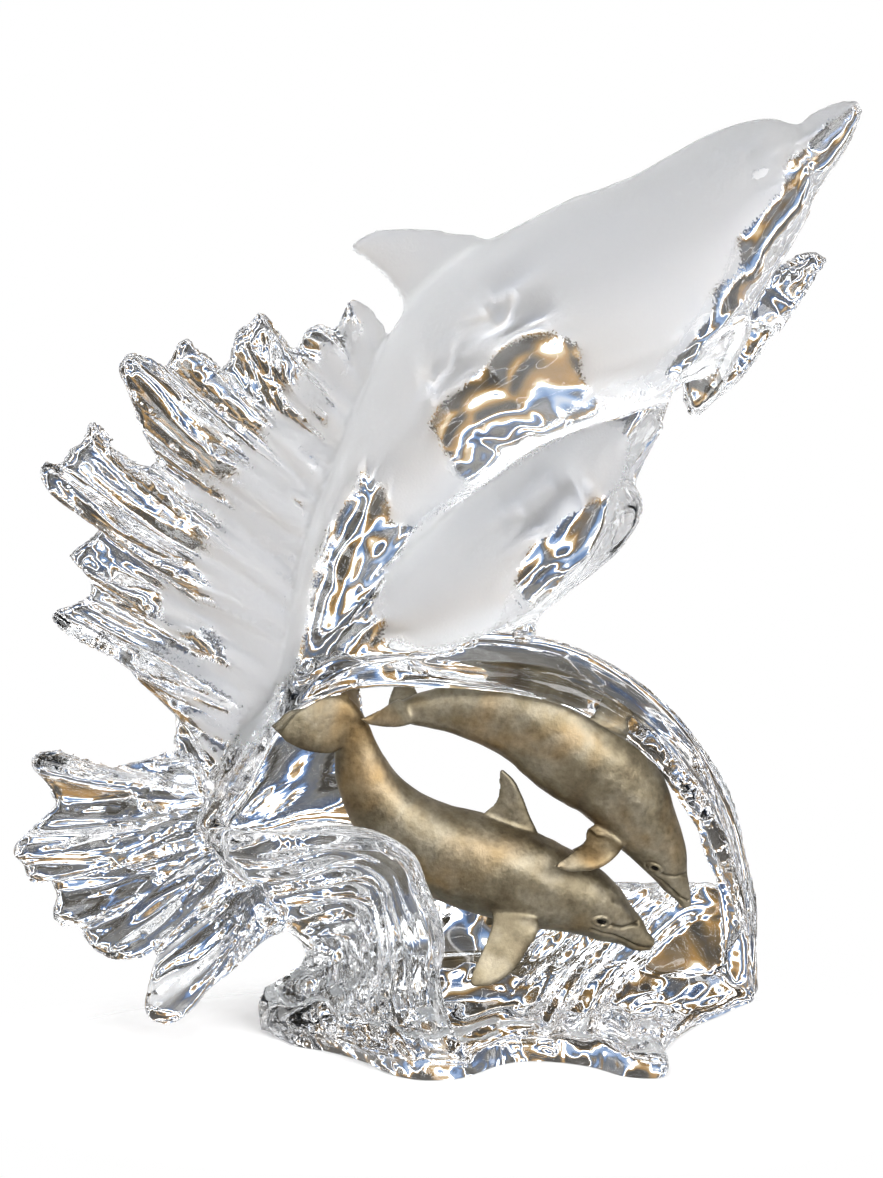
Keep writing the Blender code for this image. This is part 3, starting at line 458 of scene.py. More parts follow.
UPPER_PLANE = -2.0

# Marks on a head start this far from its middle plane
MARK_START = 2.0
# Eyes: height, place and width of the lids, the crease outside them, the groove inside them and the
# ball, how far the lids stand off, where the leaper's eye is polished clear and a metal one is dark
EYE_PROFILE = [(1, 1.0, 0.24), (-0.6, 1.5, 0.25), (-1, 0.66, 0.14), (0.5, 0, 0.5)]
LEAPER_LIDS = 0.9
METAL_LIDS = 0.7
EYE_POLISHED = (0.8, 1.3)
EYE_DARK = (0.75, 0.6)

# Metal skin: its unevenness, fine and broad, and the depth at which a crease's patina is darkest
METAL_DENT = (0.12, 5.0)
METAL_WAVE = (0.25, 16.0)
CREASE_DEPTH = 1.1

# Order of the acrylic's shells: the first ones are bodies and fins, and one is the ribbon, whose
# streaks are fainter than the rest. A step keeps the streaks of one shell apart from the next
BODY_KINDS = 6
RIBBON_KIND = 8
RIBBON_STREAK = 0.3
KIND_STEP = 100.0

# Smoothing of a melted casting, then how many near points share their way with a point, how evenly
# they do, and how far the streaks are calmed beside a join
SMOOTH_IN = 0.5
SMOOTH_OUT = -0.52
ACRYLIC_IRONING = 6
METAL_IRONING = 4
ACRYLIC_FILLET = 12
METAL_FILLET = 24
NEAR_COUNT = 4
NEAR_SOFTENING = 0.2
SEAM_BLUR = 5

# Finishes: tones, roughnesses, and how wide and deep the marks of each pattern are in millimetres.
# Grit marks are too fine to show in a picture of the whole, so they are drawn ten times as coarse
ACRYLIC_TONE = "F1F3F4"
ACRYLIC_IOR = 1.49
MATT_ROUGHNESS = 0.6
MATT_BORDER = (0.32, 0.86)
GRIT_WIDTH = 0.111
GRIT_DRAWN_COARSER = 10
GRIT_DEPTH = 0.12
SPECKLE = 1.1
STREAK_WIDTH = 2.78
STREAK_LENGTH = 20.0
STREAK_DEPTH = 0.15
PATINA_WIDTH = 26.3
PATINA_TONES = [(0.32, "5E5443"), (0.48, "7A715D"), (0.58, "8B8371"), (0.70, "766B55")]
RUBBED_WIDTH = 41.7
RUBBED_SPREAD = (0.52, 0.72)
RUBBED_SHARE = 0.65
RUBBED_GOLD = "8E7043"
SAND_WIDTH = 2.38
SAND_DEPTH = 0.4
SAND_SPREAD = (0.3, 0.7)
SAND_SHADE = (0.66, 1.14)
SATIN_ROUGHNESS = (0.40, 0.54)
CREASE_SHARE = 0.75
CREASE_TONE = "2B251C"
EYE_TONE = "1A1816"
EYE_GLOSS = -0.28

# Sockets of a mix of two colours: its share, the colours and the result
MIX_SHARE = 0
MIX_FIRST = 6
MIX_SECOND = 7
MIXED = 2

# Studio: bounces of light, then in metres the table's place and size, with its fading edge and its
# tones, and the place, size and watts of the two soft boxes
LIGHT_BOUNCES = 24
FLOOR_PLACE = (-0.01, -0.045, -0.0004)
FLOOR_REACH = (0.26, 0.13, 1.0)
FLOOR_FADE = 0.55
FLOOR_TONES = [(0.3, "E6E6E6"), (0.7, "EAEAEA")]
FLOOR_CLOUDS = 3.0
KEY_BOX = ((-0.4, -1.2, 1.5), 1.3, 22.0)
FILL_BOX = ((0.9, -1.4, 0.9), 1.2, 36.0)

# Room that the acrylic bends: how many panels it has and how they bend, its tones from dark to pale
# with warm and cool edges, paler towards the white sweep, and the bare lamps among them
LAMP_GLOW = 7.5
LAMP_PLACES = (0.365, 0.735)
LAMP_WIDTH = 0.025
ROOM_PANELS = 2.8
ROOM_BENT = 0.8
ROOM_SPREAD = (0.28, 0.72)
SWEEP_WAY = (0.0, 0.966, -0.259)
SWEEP_SPREAD = (0.25, 0.95)
ROOM_DARK = 0.65
ROOM_PALE = 0.92
ROOM_DRAW = 21.9
ROOM_TONES = [
    (0.00, "46413A"), (0.17, "5C564E"), (0.25, "937A55"), (0.30, "CB9C5C"), (0.335, "FFE9C0"),
    (0.37, "FFFFFF"), (0.42, "B0CCF4"), (0.46, "7C9FD2"), (0.50, "686E78"), (0.57, "949496"),
    (0.63, "80705C"), (0.67, "C89C5E"), (0.70, "FFE4B8"), (0.735, "FFFFFF"), (0.78, "8AB0E8"),
    (0.83, "56627A"), (0.90, "827F7A"), (1.00, "4C4843"),
]


def unit(vectors):
    """The same ways with a length of 1."""
    return vectors / np.maximum(np.linalg.norm(vectors, axis=-1, keepdims=True), 1e-9)


def smooth(table, count):
    """Evenly spaced rows on a smooth curve through the table's rows, whose first three are a place."""
    rows = np.asarray(table, float)
    steps = np.linalg.norm(np.diff(rows[:, :3], axis=0), axis=1)
    reach = np.concatenate([[0.0], np.cumsum(steps)])
    slope = np.gradient(rows, reach, axis=0)
    at = np.linspace(0.0, reach[-1], count)
    i = np.clip(np.searchsorted(reach, at, side="right") - 1, 0, len(rows) - 2)
    span = (reach[i + 1] - reach[i])[:, None]
    t = (at[:, None] - reach[i][:, None]) / span
    start = (1 + 2 * t) * (1 - t) ** 2 * rows[i] + t * (1 - t) ** 2 * span * slope[i]
    end = t * t * (3 - 2 * t) * rows[i + 1] + t * t * (t - 1) * span * slope[i + 1]
    return start + end


def ease(low, high, value):
    """0 below low, 1 above high, and smooth between them."""
    t = np.clip((value - low) / (high - low), 0, 1)
    return t * t * (3 - 2 * t)


def hump(middle, width, value):
    """1 at the middle, fading to 0 over about twice the width on each side."""
    return np.exp(-(((value - middle) / width) ** 2))


def sway(places, ripple, seed, waves=14):
    """Smooth wander of about a ripple's height, with humps a grain wide, the same on every run."""
    height, grain = ripple
    draw = np.random.default_rng(seed)
    scaled = np.asarray(places, float) / np.asarray(grain, float) * math.pi
    total = np.zeros(scaled.shape[:-1])
    for _ in range(waves):
        way = unit(draw.normal(size=scaled.shape[-1])) * draw.uniform(0.5, 1.4)
        total += np.sin(scaled @ way + draw.uniform(0, 2 * math.pi))
    return height * (total * math.sqrt(2 / waves) / 1.5)


def folds(turns):
    """Rounded ridges with narrower valleys between them, one to a turn, from -1 to 1."""
    return 2 * (0.5 - 0.5 * np.cos(2 * math.pi * turns)) ** FOLD_FULLNESS - 1


def ring_faces(count, sides):
    """Faces of a closed shell through rings of points, each end closed by one face."""
    faces = []
    for i in range(count - 1):
        for k in range(sides):
            here, beside = i * sides + k, i * sides + (k + 1) % sides
            faces.append((here, beside, beside + sides, here + sides))
    faces.append(tuple(range(sides)))
    faces.append(tuple((count - 1) * sides + k for k in range(sides)))
    return faces


def body_shell(stations, rings=60, sides=28):
    """Body of a dolphin or a swell of water: oval sections square to its centre line."""
    line = smooth(stations, rings)
    along = unit(np.gradient(line[:, :3], axis=0))
    up = unit(np.cross(ACROSS, along))
    turn = np.linspace(0, 2 * math.pi, sides, endpoint=False)[None, :, None]
    tall, wide = np.maximum(line[:, 3:5], LEAST_RADIUS).T
    tall, wide = tall[:, None, None], wide[:, None, None]
    centre = line[:, None, :3]
    rings_of_points = centre + up[:, None] * tall * np.cos(turn) + ACROSS * wide * np.sin(turn)
    return rings_of_points.reshape(-1, 3), ring_faces(rings, sides)


def blade_shell(edges, root_half, tip_half, rings=20, sides=20):
    """Fin or fluke: lens sections from the leading edge to the trailing edge, thinning to the tip."""
    leading, trailing = (smooth(edge, rings) for edge in edges)
    chord = trailing - leading
    span = np.gradient((leading + trailing) / 2, axis=0)
    out = unit(np.cross(chord, span))[:, None]
    thinning = np.linspace(0, 1, rings) ** BLADE_TAPER
    half = (root_half + (tip_half - root_half) * thinning)[:, None, None]
    turn = np.linspace(0, 2 * math.pi, sides, endpoint=False)[None, :, None]
    back = (1 - np.cos(turn)) / 2
    plump = np.sin(turn) * (BLADE_FRONT + (BLADE_REAR - BLADE_FRONT) * back)
    sections = leading[:, None] + chord[:, None] * back + out * half * plump
    return sections.reshape(-1, 3), ring_faces(rings, sides)


def sheet_shell(front, back, ways):
    """Closed shell of a sheet's front and back, two grids of one size, with the way that water runs."""
    rows, columns = front.shape[:2]
    spot = np.arange(rows * columns).reshape(rows, columns)
    quads = np.stack([spot[:-1, :-1], spot[:-1, 1:], spot[1:, 1:], spot[1:, :-1]], -1).reshape(-1, 4)
    rim = np.concatenate([spot[0], spot[1:, -1], spot[-1, -2::-1], spot[-2:0:-1, 0]])
    ahead = np.roll(rim, -1)
    sides = np.stack([ahead, rim, rim + spot.size, ahead + spot.size], -1)
    faces = np.concatenate([quads, quads[:, ::-1] + spot.size, sides])
    points = np.concatenate([front.reshape(-1, 3), back.reshape(-1, 3)])
    return points, faces.tolist(), np.concatenate([ways.reshape(-1, 2)] * 2)


def thick_sheet(middle, front_half, back_half, ways, out=None):
    """Sheet about its middle, with a thickness of its own on each side."""
    if out is None:
        out = unit(np.cross(np.gradient(middle, axis=0), np.gradient(middle, axis=1)))
    return sheet_shell(middle - out * front_half, middle + out * back_half, ways)


def rounded(t, share):
    """1 over most of 0..1, falling to nearly nothing in a quarter round near t = 1."""
    past = np.clip((t - (1 - share)) / share, 0, ROUND_STOP)
    return np.sqrt(1 - past**2)


def patch_grid(count, rows):
    """Shares of a patch's two sides, from 0 to 1, at count by rows places."""
    return np.meshgrid(np.linspace(0, 1, count), np.linspace(0, 1, rows), indexing="ij")


def between(near, far, t):
    """Grid of rows that run from the near edge to the far edge."""
    return near[:, None] * (1 - t[..., None]) + far[:, None] * t[..., None]


def finger_ridges(reach):
    """From -1 in the notches to 1 along the fingers, by how far the reach stands off its trend."""
    width = int(len(reach) * FINGER_SHARE) | 1
    padded = np.pad(reach, width // 2, mode="reflect")
    trend = np.convolve(padded, np.full(width, 1 / width), mode="valid")
    return np.clip((reach - trend) / FINGER_RISE, -1, 1)


def fold_relief(ways, seed):
    """Long rounded folds that run the way the water does, with smaller ripples on them."""
    turns = ways[..., 0] / FOLD_WIDTH + sway(ways, FOLD_WANDER, seed)
    return FOLD_HEIGHT * folds(turns) + sway(ways, FOLD_RIPPLE, seed + 1)


def spray_fan(root, fingers, count, rows, pleats, seed):
    """Fan of water from its root to its fingers, each finger a plump ridge that fades to the root."""
    near, far = smooth(root, count), smooth(fingers, count)
    reach = np.linalg.norm(far[:, :3] - near[:, :3], axis=1)
    ridge = finger_ridges(reach)[:, None]
    s, t = patch_grid(count, rows)
    mixed = between(near, far, t)
    pleat = PLEAT_SHARE * np.sin(2 * math.pi * pleats * s + PLEAT_LEAN * t) - ridge
    depth = PLEAT_HEIGHT * pleat * t - FAN_DISH * np.sin(math.pi * t)
    middle = mixed[..., :3] + ACROSS * depth[..., None]
    edge = rounded(t, FAN_RIM_SHARE) * rounded(s, FAN_END_SHARE) * rounded(1 - s, FAN_END_SHARE)
    width = np.linalg.norm(np.diff(mixed[:, rows // 2, :3], axis=0), axis=1).sum()
    ways = np.stack([s * width, t * reach.mean()], -1)
    plump = mixed[..., 3] * (1 + FINGER_PLUMP * ridge * t)
    strength = FOLD_START + (1 - FOLD_START) * ease(0, FOLD_FULL, t)
    sides = [plump + fold_relief(ways, side_seed) * strength for side_seed in (seed, seed + 7)]
    halves = [(np.maximum(side, LEAST_HALF) * edge)[..., None] for side in sides]
    return thick_sheet(middle, *halves, ways, ACROSS)


def water_band(low, high, count, rows, bow, relief):
    """Band of water between two edges, arched along the bow midway, with relief on both its sides."""
    near, far = smooth(low, count), smooth(high, count)
    s, t = patch_grid(count, rows)
    mixed = between(near, far, t)
    middle = mixed[..., :3] + np.asarray(bow, float) * np.sin(math.pi * t)[..., None]
    width = np.linalg.norm(far[:, :3] - near[:, :3], axis=1).mean()
    length = np.linalg.norm(np.diff(near[:, :3], axis=0), axis=1).sum()
    ways = np.stack([t * width, s * length], -1)
    edge = rounded(t, RIM_SHARE) * rounded(1 - t, RIM_SHARE)
    sides = [mixed[..., 3] + relief(ways, s, t, side) for side in (0, 1)]
    halves = [(np.maximum(side, LEAST_HALF) * edge)[..., None] for side in sides]
    return thick_sheet(middle, *halves, ways)


def ribbon_relief(ways, s, t, side):
    """Two beads along the edges, long twisting streaks down the right leg, and the saddle below."""
    beads = RIBBON_BEAD * sum(hump(line, BEAD_WIDTH, t) for line in BEAD_LINES)
    wander = sway(ways, TWIST_WANDER, 31 + side)
    twist = TWIST_HEIGHT * folds(TWIST_ACROSS * t + TWIST_ALONG * s + wander) * ease(*TWIST_START, s)
    swell = sway(ways, RIBBON_SWELL, 35 + side)
    deep = SADDLE_DEPTH + SADDLE_TAIL * (1 - ease(*SADDLE_TAIL_END, s))
    saddle = deep * hump(SADDLE_MIDDLE, SADDLE_WIDTH, t) * ease(*SADDLE_START, s)
    saddle *= (1 - ease(*SADDLE_END, s)) * (side == 0)
    return beads + twist + swell + saddle


def wall_relief(ways, s, t, side):
    """Low waves that lie one above another and fade at the wall's top and foot."""
    faded = ease(0, WALL_FADE, t) * ease(0, WALL_FADE, 1 - t)
    return sway(ways, WALL_RIPPLE, 41 + side) * faded


def web_relief(ways, s, t, side):
    """Small ripples all over."""
    return sway(ways, WEB_RIPPLE, 51 + side)


def crest_shell(count, rows):
    """Breaking wave: a patch between its lip, its hollow end and its rim, hollowed towards +Y."""
    lip = smooth(CREST_LIP, rows)[None]
    end = smooth(CREST_HOLLOW_END, count)[:, None]
    rim = smooth(CREST_RIM, count)[:, None]
    s, t = (grid[..., None] for grid in patch_grid(count, rows))
    last = np.array(CREST_RIM[-1], float)
    corners = (1 - s) * ((1 - t) * lip[:, :1] + t * lip[:, -1:]) + s * last
    patch = (1 - s) * lip + s * last + (1 - t) * end + t * rim - corners
    hollow = np.sin(math.pi * s**CREST_FULLNESS) * np.maximum(np.sin(math.pi * t), 0) ** CREST_FULLNESS
    middle = patch[..., :3] + ACROSS * CREST_HOLLOW * hollow
    ways = np.concatenate([s * CREST_WIDTH, t * CREST_LENGTH], -1)
    edge = rounded(1 - s, CREST_RIM_SHARE)
    half = np.maximum(patch[..., 3:4], CREST_LEAST)
    combed = 1 - (1 - ease(*COMB_START, s)) * ease(*COMB_CALM, t)
    sides = []
    for seed in (61, 67):
        turns = COMB_COUNT * s[..., 0] + sway(ways, COMB_WANDER, seed)
        comb = COMB_HEIGHT * folds(turns) + sway(ways, CREST_RIPPLE, seed + 1)
        relief = comb[..., None] * ease(0, COMB_TOP, t) * combed
        sides.append(np.maximum(half + relief, CREST_LEAST_COMBED) * edge)
    return thick_sheet(middle, *sides, ways)


def closed_curve(points, count):
    """Evenly spaced points on a smooth closed curve through the given ones."""
    wrap = 3
    ring = [tuple(p) + (0.0,) for p in points[-wrap:] + points + points[:wrap]]
    fine = smooth(ring, 4 * count)
    start = np.linalg.norm(fine[: 2 * count, :2] - points[0], axis=1).argmin()
    end = 2 * count + np.linalg.norm(fine[2 * count :, :2] - points[0], axis=1).argmin()
    return smooth(fine[start : end + 1], count + 1)[:-1, :2]


def line_distance(places, line):
    """How far each place lies from a line of points."""
    line = np.asarray(line, float)
    nearest = np.full(places.shape[:-1], np.inf)
    for start, end in zip(line, line[1:]):
        step = end - start
        t = np.clip((places - start) @ step / (step @ step), 0, 1)
        nearest = np.minimum(nearest, np.linalg.norm(places - start - t[..., None] * step, axis=-1))
    return nearest


def foot_height(x, y):
    """Height of the foot's top: low at the front and along the shore, swept up to a ridge at the back."""
    rise = np.clip((y - FRONT_Y) / FRONT_TO_BACK, 0, 1)
    swept = FRONT_HEIGHT + (BACK_HEIGHT - FRONT_HEIGHT) * rise**SWEEP
    swept *= LEFT_END + (1 - LEFT_END) * np.clip((x - LEFT_END_X) / LEFT_END_LENGTH, 0, 1)
    inland = np.clip(line_distance(np.stack([x, y], -1), SHORE) / SHORE_WIDTH, 0, 1)
    return SHORE_HEIGHT + (swept - SHORE_HEIGHT) * inland**2 * (3 - 2 * inland)


def foot_ridges(x, y):
    """Scooped valleys with ridges between them, which start at the foot's front and bend to the right."""
    swing = RIDGE_SWING * (np.maximum(y - RIDGE_FRONT_Y, 0) / RIDGE_REACH) ** 2
    turns = np.interp(x - swing, RIDGE_STARTS, np.arange(len(RIDGE_STARTS)))
    scoop = RIDGE_HEIGHT * (1 - 2 * np.abs(np.sin(math.pi * turns)) ** RIDGE_SHARPNESS)
    streak = sway(np.stack([x - swing, y], -1), RIDGE_STREAK, 79)
    return (scoop + streak) * np.clip((x - RIDGE_X) / RIDGE_FADE, 0, 1)


def foot_shell(count, side_rows, rows):
    """Foot of the wave: a lumpy rounded side on its plan, drawn in to the middle, and flat below."""
    plan = closed_curve(FOOT_PLAN, count)
    middle = np.array(FOOT_MIDDLE)
    inward = unit(middle - plan)[None]
    turn = np.linspace(ROUND_FROM, math.pi / 2, side_rows)[:, None, None]
    round_places = np.concatenate([plan[None] + 0 * turn, SIDE_RISE * turn + 0 * plan[None, :, :1]], -1)
    lumps = LUMP_DEPTH * np.clip(0.5 + sway(round_places, SIDE_LUMP, 73), 0, 2)[..., None]
    side = plan[None] + inward * (ROUND_IN * (1 - np.cos(turn)) + lumps * np.cos(turn) ** 2)
    drawn_in = np.linspace(1, 1 / rows, rows)[1:, None, None]
    flat = np.concatenate([side, middle + (side[-1:] - middle) * drawn_in])
    height = foot_height(flat[..., 0], flat[..., 1])
    height[:side_rows] *= (1 + np.sin(turn[..., 0])) / 2
    top = flat[side_rows:]
    x, y = top[..., 0], top[..., 1]
    inset = (1 - drawn_in[..., 0]) * np.linalg.norm(plan - middle, axis=1)[None]
    bead = SHORE_BEAD * hump(SHORE_BEAD_INSET, SHORE_BEAD_WIDTH, inset)
    bead -= hump(TROUGH_INSET, TROUGH_WIDTH, inset)
    bead += sway(top, EDGE_LUMP, 75) * hump(0, EDGE_LUMP_REACH, inset)
    bead += sway(top, FRONT_SWELL, 77) * ease(*FRONT_SWELL_INSET, inset)
    ridges = foot_ridges(x, y) * ease(0, RIDGE_INSET, inset)
    height[side_rows:] += ridges + bead * ease(*FRONT_FADE, y) * ease(0, SHORE_BEAD_START, inset)
    buried = np.dstack([side[:1], np.full((1, count), -FOOT_DEPTH)])
    points = np.concatenate([buried, np.dstack([flat, height])]).reshape(-1, 3)
    return points, ring_faces(len(flat) + 1, count)


def depth_inside(places, outline):
    """How far each place lies inside a closed outline, and below 0 outside it."""
    outline = np.asarray(outline, float)
    inside = np.zeros(len(places), bool)
    for a, b in zip(outline, np.roll(outline, -1, axis=0)):
        level = (a[1] > places[:, 1]) != (b[1] > places[:, 1])
        rise = np.where(level, b[1] - a[1], 1)
        inside ^= level & (places[:, 0] < a[0] + (places[:, 1] - a[1]) * (b[0] - a[0]) / rise)
    far = line_distance(places, np.concatenate([outline, outline[:1]]))
    return np.where(inside, far, -far)


@contextmanager
def opened(mesh):
    """A mesh's points, edges and faces to work on, written back when the work is done."""
    shape = bmesh.new()
    shape.from_mesh(mesh)
    yield shape
    shape.to_mesh(mesh)
    shape.free()


def melted(shells, voxel):
    """Mesh of the one skin that overlapping closed shells melt into, in metres."""
    points, faces, first = [], [], 0
    for shell in shells:
        points.append(shell[0])
        faces += [[first + k for k in face] for face in shell[1]]
        first += len(shell[0])
    mesh = bpy.data.meshes.new("shells")
    mesh.from_pydata((np.concatenate(points) * MM).tolist(), [], faces)
    with opened(mesh) as shape:
        bmesh.ops.recalc_face_normals(shape, faces=shape.faces)
    thing = bpy.data.objects.new("shells", mesh)
    bpy.context.scene.collection.objects.link(thing)
    melt = thing.modifiers.new("melt", "REMESH")
    melt.mode = "VOXEL"
    melt.voxel_size = voxel * MM
    bpy.context.view_layer.update()
    skin = bpy.data.meshes.new_from_object(thing.evaluated_get(bpy.context.evaluated_depsgraph_get()))
    bpy.data.objects.remove(thing)
    bpy.data.meshes.remove(mesh)
    drop_crumbs(skin)
    return skin


def drop_crumbs(mesh):
    """Keeps the largest skin of a melt, without the crumbs that thin tips leave beside it."""
    with opened(mesh) as shape:
        waiting, skins = set(shape.verts), []
        while waiting:
            front = [waiting.pop()]
            skin = front[:]
            while front:
                here = front.pop()
                near = [edge.other_vert(here) for edge in here.link_edges]
                fresh = [vert for vert in near if vert in waiting]
                waiting.difference_update(fresh)
                front += fresh
                skin += fresh
            skins.append(skin)
        skins.sort(key=len)
        crumbs = [vert for skin in skins[:-1] for vert in skin]
        bmesh.ops.delete(shape, geom=crumbs, context="VERTS")


def mesh_array(rows, field, width, kind=float):
    """One field of a mesh's points or edges, as rows of numbers."""
    flat = np.empty(len(rows) * width, kind)
    rows.foreach_get(field, flat)
    return flat.reshape(-1, width)


def mesh_points(mesh):
    """Places of the points in millimetres."""
    return mesh_array(mesh.vertices, "co", 3) / MM


def set_points(mesh, points):
    """Moves the points to places in millimetres."""
    mesh.vertices.foreach_set("co", (points * MM).ravel())
    mesh.update()


def mesh_normals(mesh):
    return mesh_array(mesh.vertex_normals, "vector", 3, np.float32).astype(float)


def neighbour_mean(values, edges):
    """Mean of each point's neighbours along the edges."""
    count = np.bincount(edges.ravel(), minlength=len(values))[:, None]
    total = np.zeros_like(values)
    for column in range(values.shape[1]):
        for here, there in (edges.T, edges.T[::-1]):
            total[:, column] += np.bincount(here, values[there, column], minlength=len(values))
    return total / np.maximum(count, 1)


def mesh_edges(mesh):
    return mesh_array(mesh.edges, "vertices", 2, np.int32)


def ironed(mesh, rounds):
    """Smooths out the grid of the melt without shrinking: each pass in is followed by one out."""
    points, edges = mesh_points(mesh), mesh_edges(mesh)
    for _ in range(rounds):
        for share in (SMOOTH_IN, SMOOTH_OUT):
            points += share * (neighbour_mean(points, edges) - points)
    set_points(mesh, points)


def filleted(mesh, rounds, share):
    """Fills creases where fins meet a body: a point moves out as far as its neighbours stand out."""
    points, edges = mesh_points(mesh), mesh_edges(mesh)
    for _ in range(rounds):
        normals = mesh_normals(mesh)
        proud = ((neighbour_mean(points, edges) - points) * normals).sum(axis=1)
        points += (np.maximum(proud, 0) * share)[:, None] * normals
        set_points(mesh, points)


def cut_level(mesh):
    """Cuts the casting off at the ground and closes it with a flat underside."""
    with opened(mesh) as shape:
        everything = shape.verts[:] + shape.edges[:] + shape.faces[:]
        ground = {"plane_co": (0, 0, 0), "plane_no": (0, 0, -1)}
        bmesh.ops.bisect_plane(shape, geom=everything, clear_outer=True, **ground)
        rim = [edge for edge in shape.edges if edge.is_boundary]
        bmesh.ops.holes_fill(shape, edges=rim, sides=0)
        for face in shape.faces:
            face.smooth = not all(abs(corner.co.z) < 1e-6 for corner in face.verts)
        for edge in rim:
            edge.smooth = False


def add_values(mesh, name, values):
    """Stores a number or a vector at each point, for the material to read."""
    if values.ndim == 1:
        mesh.attributes.new(name, "FLOAT", "POINT").data.foreach_set("value", values.astype(np.float32))
    else:
        store = mesh.attributes.new(name, "FLOAT_VECTOR", "POINT")
        store.data.foreach_set("vector", values.astype(np.float32).ravel())


def add_piece(mesh, name, node, material):
    """Shows a finished casting in place of its solid."""
    mesh.name = name
    mesh.materials.clear()
    mesh.materials.append(material)
    piece = bpy.data.objects.new(name, mesh)
    bpy.context.scene.collection.objects.link(piece)
    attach(piece, "root")
    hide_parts(node)


def acrylic_shells():
    """Shells of the casting, each with how many rings and points round, or rows, it is made of.

    Those of running water also hold the way that it runs at each point.
    """
    return [
        body_shell(LEAPER, 220, 110),
        blade_shell(LEAPER_BACK_FIN, 7, 1.8, 60, 48),
        blade_shell(LEAPER_NEAR_FIN, 6, 2.4, 50, 36),
        blade_shell(LEAPER_FAR_FIN, 5, 2.4, 50, 36),
        body_shell(SWELL, 130, 80),
        body_shell(SWELL_LIP, 130, 44),
        foot_shell(420, 24, 90),
        water_band(WEB_TOP, WEB_EDGE, 80, 50, (0, 0, 0), web_relief),
        water_band(RIBBON_FRONT, RIBBON_BACK, 420, 64, (0, 0, 2), ribbon_relief),
        water_band(WALL_TOP, WALL_FOOT, 110, 70, (0, 3, 0), wall_relief),
        spray_fan(UPPER_ROOT, UPPER_FINGERS, 640, 120, UPPER_PLEATS, 81),
        spray_fan(LOWER_ROOT, LOWER_FINGERS, 460, 100, LOWER_PLEATS, 91),
        crest_shell(200, 190),
    ]


def carried_ways(points, shells):
    """The way that water runs at each point of the casting, and how surely it belongs to one shell."""
    starts = np.cumsum([0] + [len(shell[0]) for shell in shells])
    every = np.concatenate([shell[0] for shell in shells])
    kinds = np.repeat(np.arange(len(shells)), np.diff(starts))
    still = [np.zeros((len(shell[0]), 2)) for shell in shells]
    ways = np.concatenate([shell[2] if len(shell) > 2 else none for shell, none in zip(shells, still)])
    runs = np.array([len(shell) > 2 for shell in shells])
    tree = KDTree(len(every))
    for index, place in enumerate(every):
        tree.insert(place, index)
    tree.balance()
    found = [tree.find_n(place, NEAR_COUNT) for place in points]
    index = np.array([[near[1] for near in row] for row in found])
    gap = np.array([[near[2] for near in row] for row in found])
    kind = kinds[index]
    same = kind == kind[:, :1]
    share = same / (gap + NEAR_SOFTENING)
    share /= share.sum(axis=1, keepdims=True)
    carried = (ways[index] * share[..., None]).sum(axis=1)
    sure = (same.all(axis=1) & runs[kind[:, 0]]).astype(float)
    return carried, sure, kind[:, 0]


def frost_at(points, ways):
    """How sandblasted each point is: 0 where polished, 1 where matt, one half on the ragged border."""
    depth = BODY_PLANE - np.abs(points[:, 1] - BODY_PLANE)
    seen = np.stack([points[:, 0], points[:, 2] + SIGHT_SLOPE * depth], -1)
    body = depth_inside(seen, FROSTED_LEAPER)
    for clear in (CLEAR_WINDOW, CLEAR_STEM):
        body = np.minimum(body, -depth_inside(seen, clear))
    hard = np.maximum(body, depth_inside(seen, FROSTED_SWELL))
    hard += sway(points, BODY_RAGGED, 122)
    soft = depth_inside(seen, FROSTED_SPRAY) + sway(ways, SPRAY_RAGGED, 121)
    matt = ease(-SPRAY_FROST_EDGE, SPRAY_FROST_EDGE, soft)
    return np.maximum(ease(-FROST_EDGE, FROST_EDGE, hard), matt)


def along_normals(mesh, heights):
    """Moves each point out by its height."""
    set_points(mesh, mesh_points(mesh) + mesh_normals(mesh) * heights[:, None])


def side_marks(points, plane, marks):
    """Grooves along lines seen from the side, on both sides of a body: each has a depth and a width."""
    seen = points[:, [0, 2]]
    aside = ease(0, MARK_START, np.abs(points[:, 1] - plane))
    total = np.zeros(len(points))
    for line, depth, width in marks:
        total -= depth * hump(0, width, line_distance(seen, line)) * aside
    return total


def eye_reach(points, plane, centre, size, tilt):
    """Distance from the middle of an eye, 1 at its lids, seen from the side."""
    offset = points[:, [0, 2]] - centre
    turn = np.array([[math.cos(tilt), -math.sin(tilt)], [math.sin(tilt), math.cos(tilt)]])
    reach = np.linalg.norm(offset @ turn / size, axis=1)
    return np.where(np.abs(points[:, 1] - plane) > MARK_START, reach, np.inf)


def eye_relief(reach, height):
    """Raised lids round a small ball, with a crease outside them."""
    return height * sum(part * hump(middle, width, reach) for part, middle, width in EYE_PROFILE)


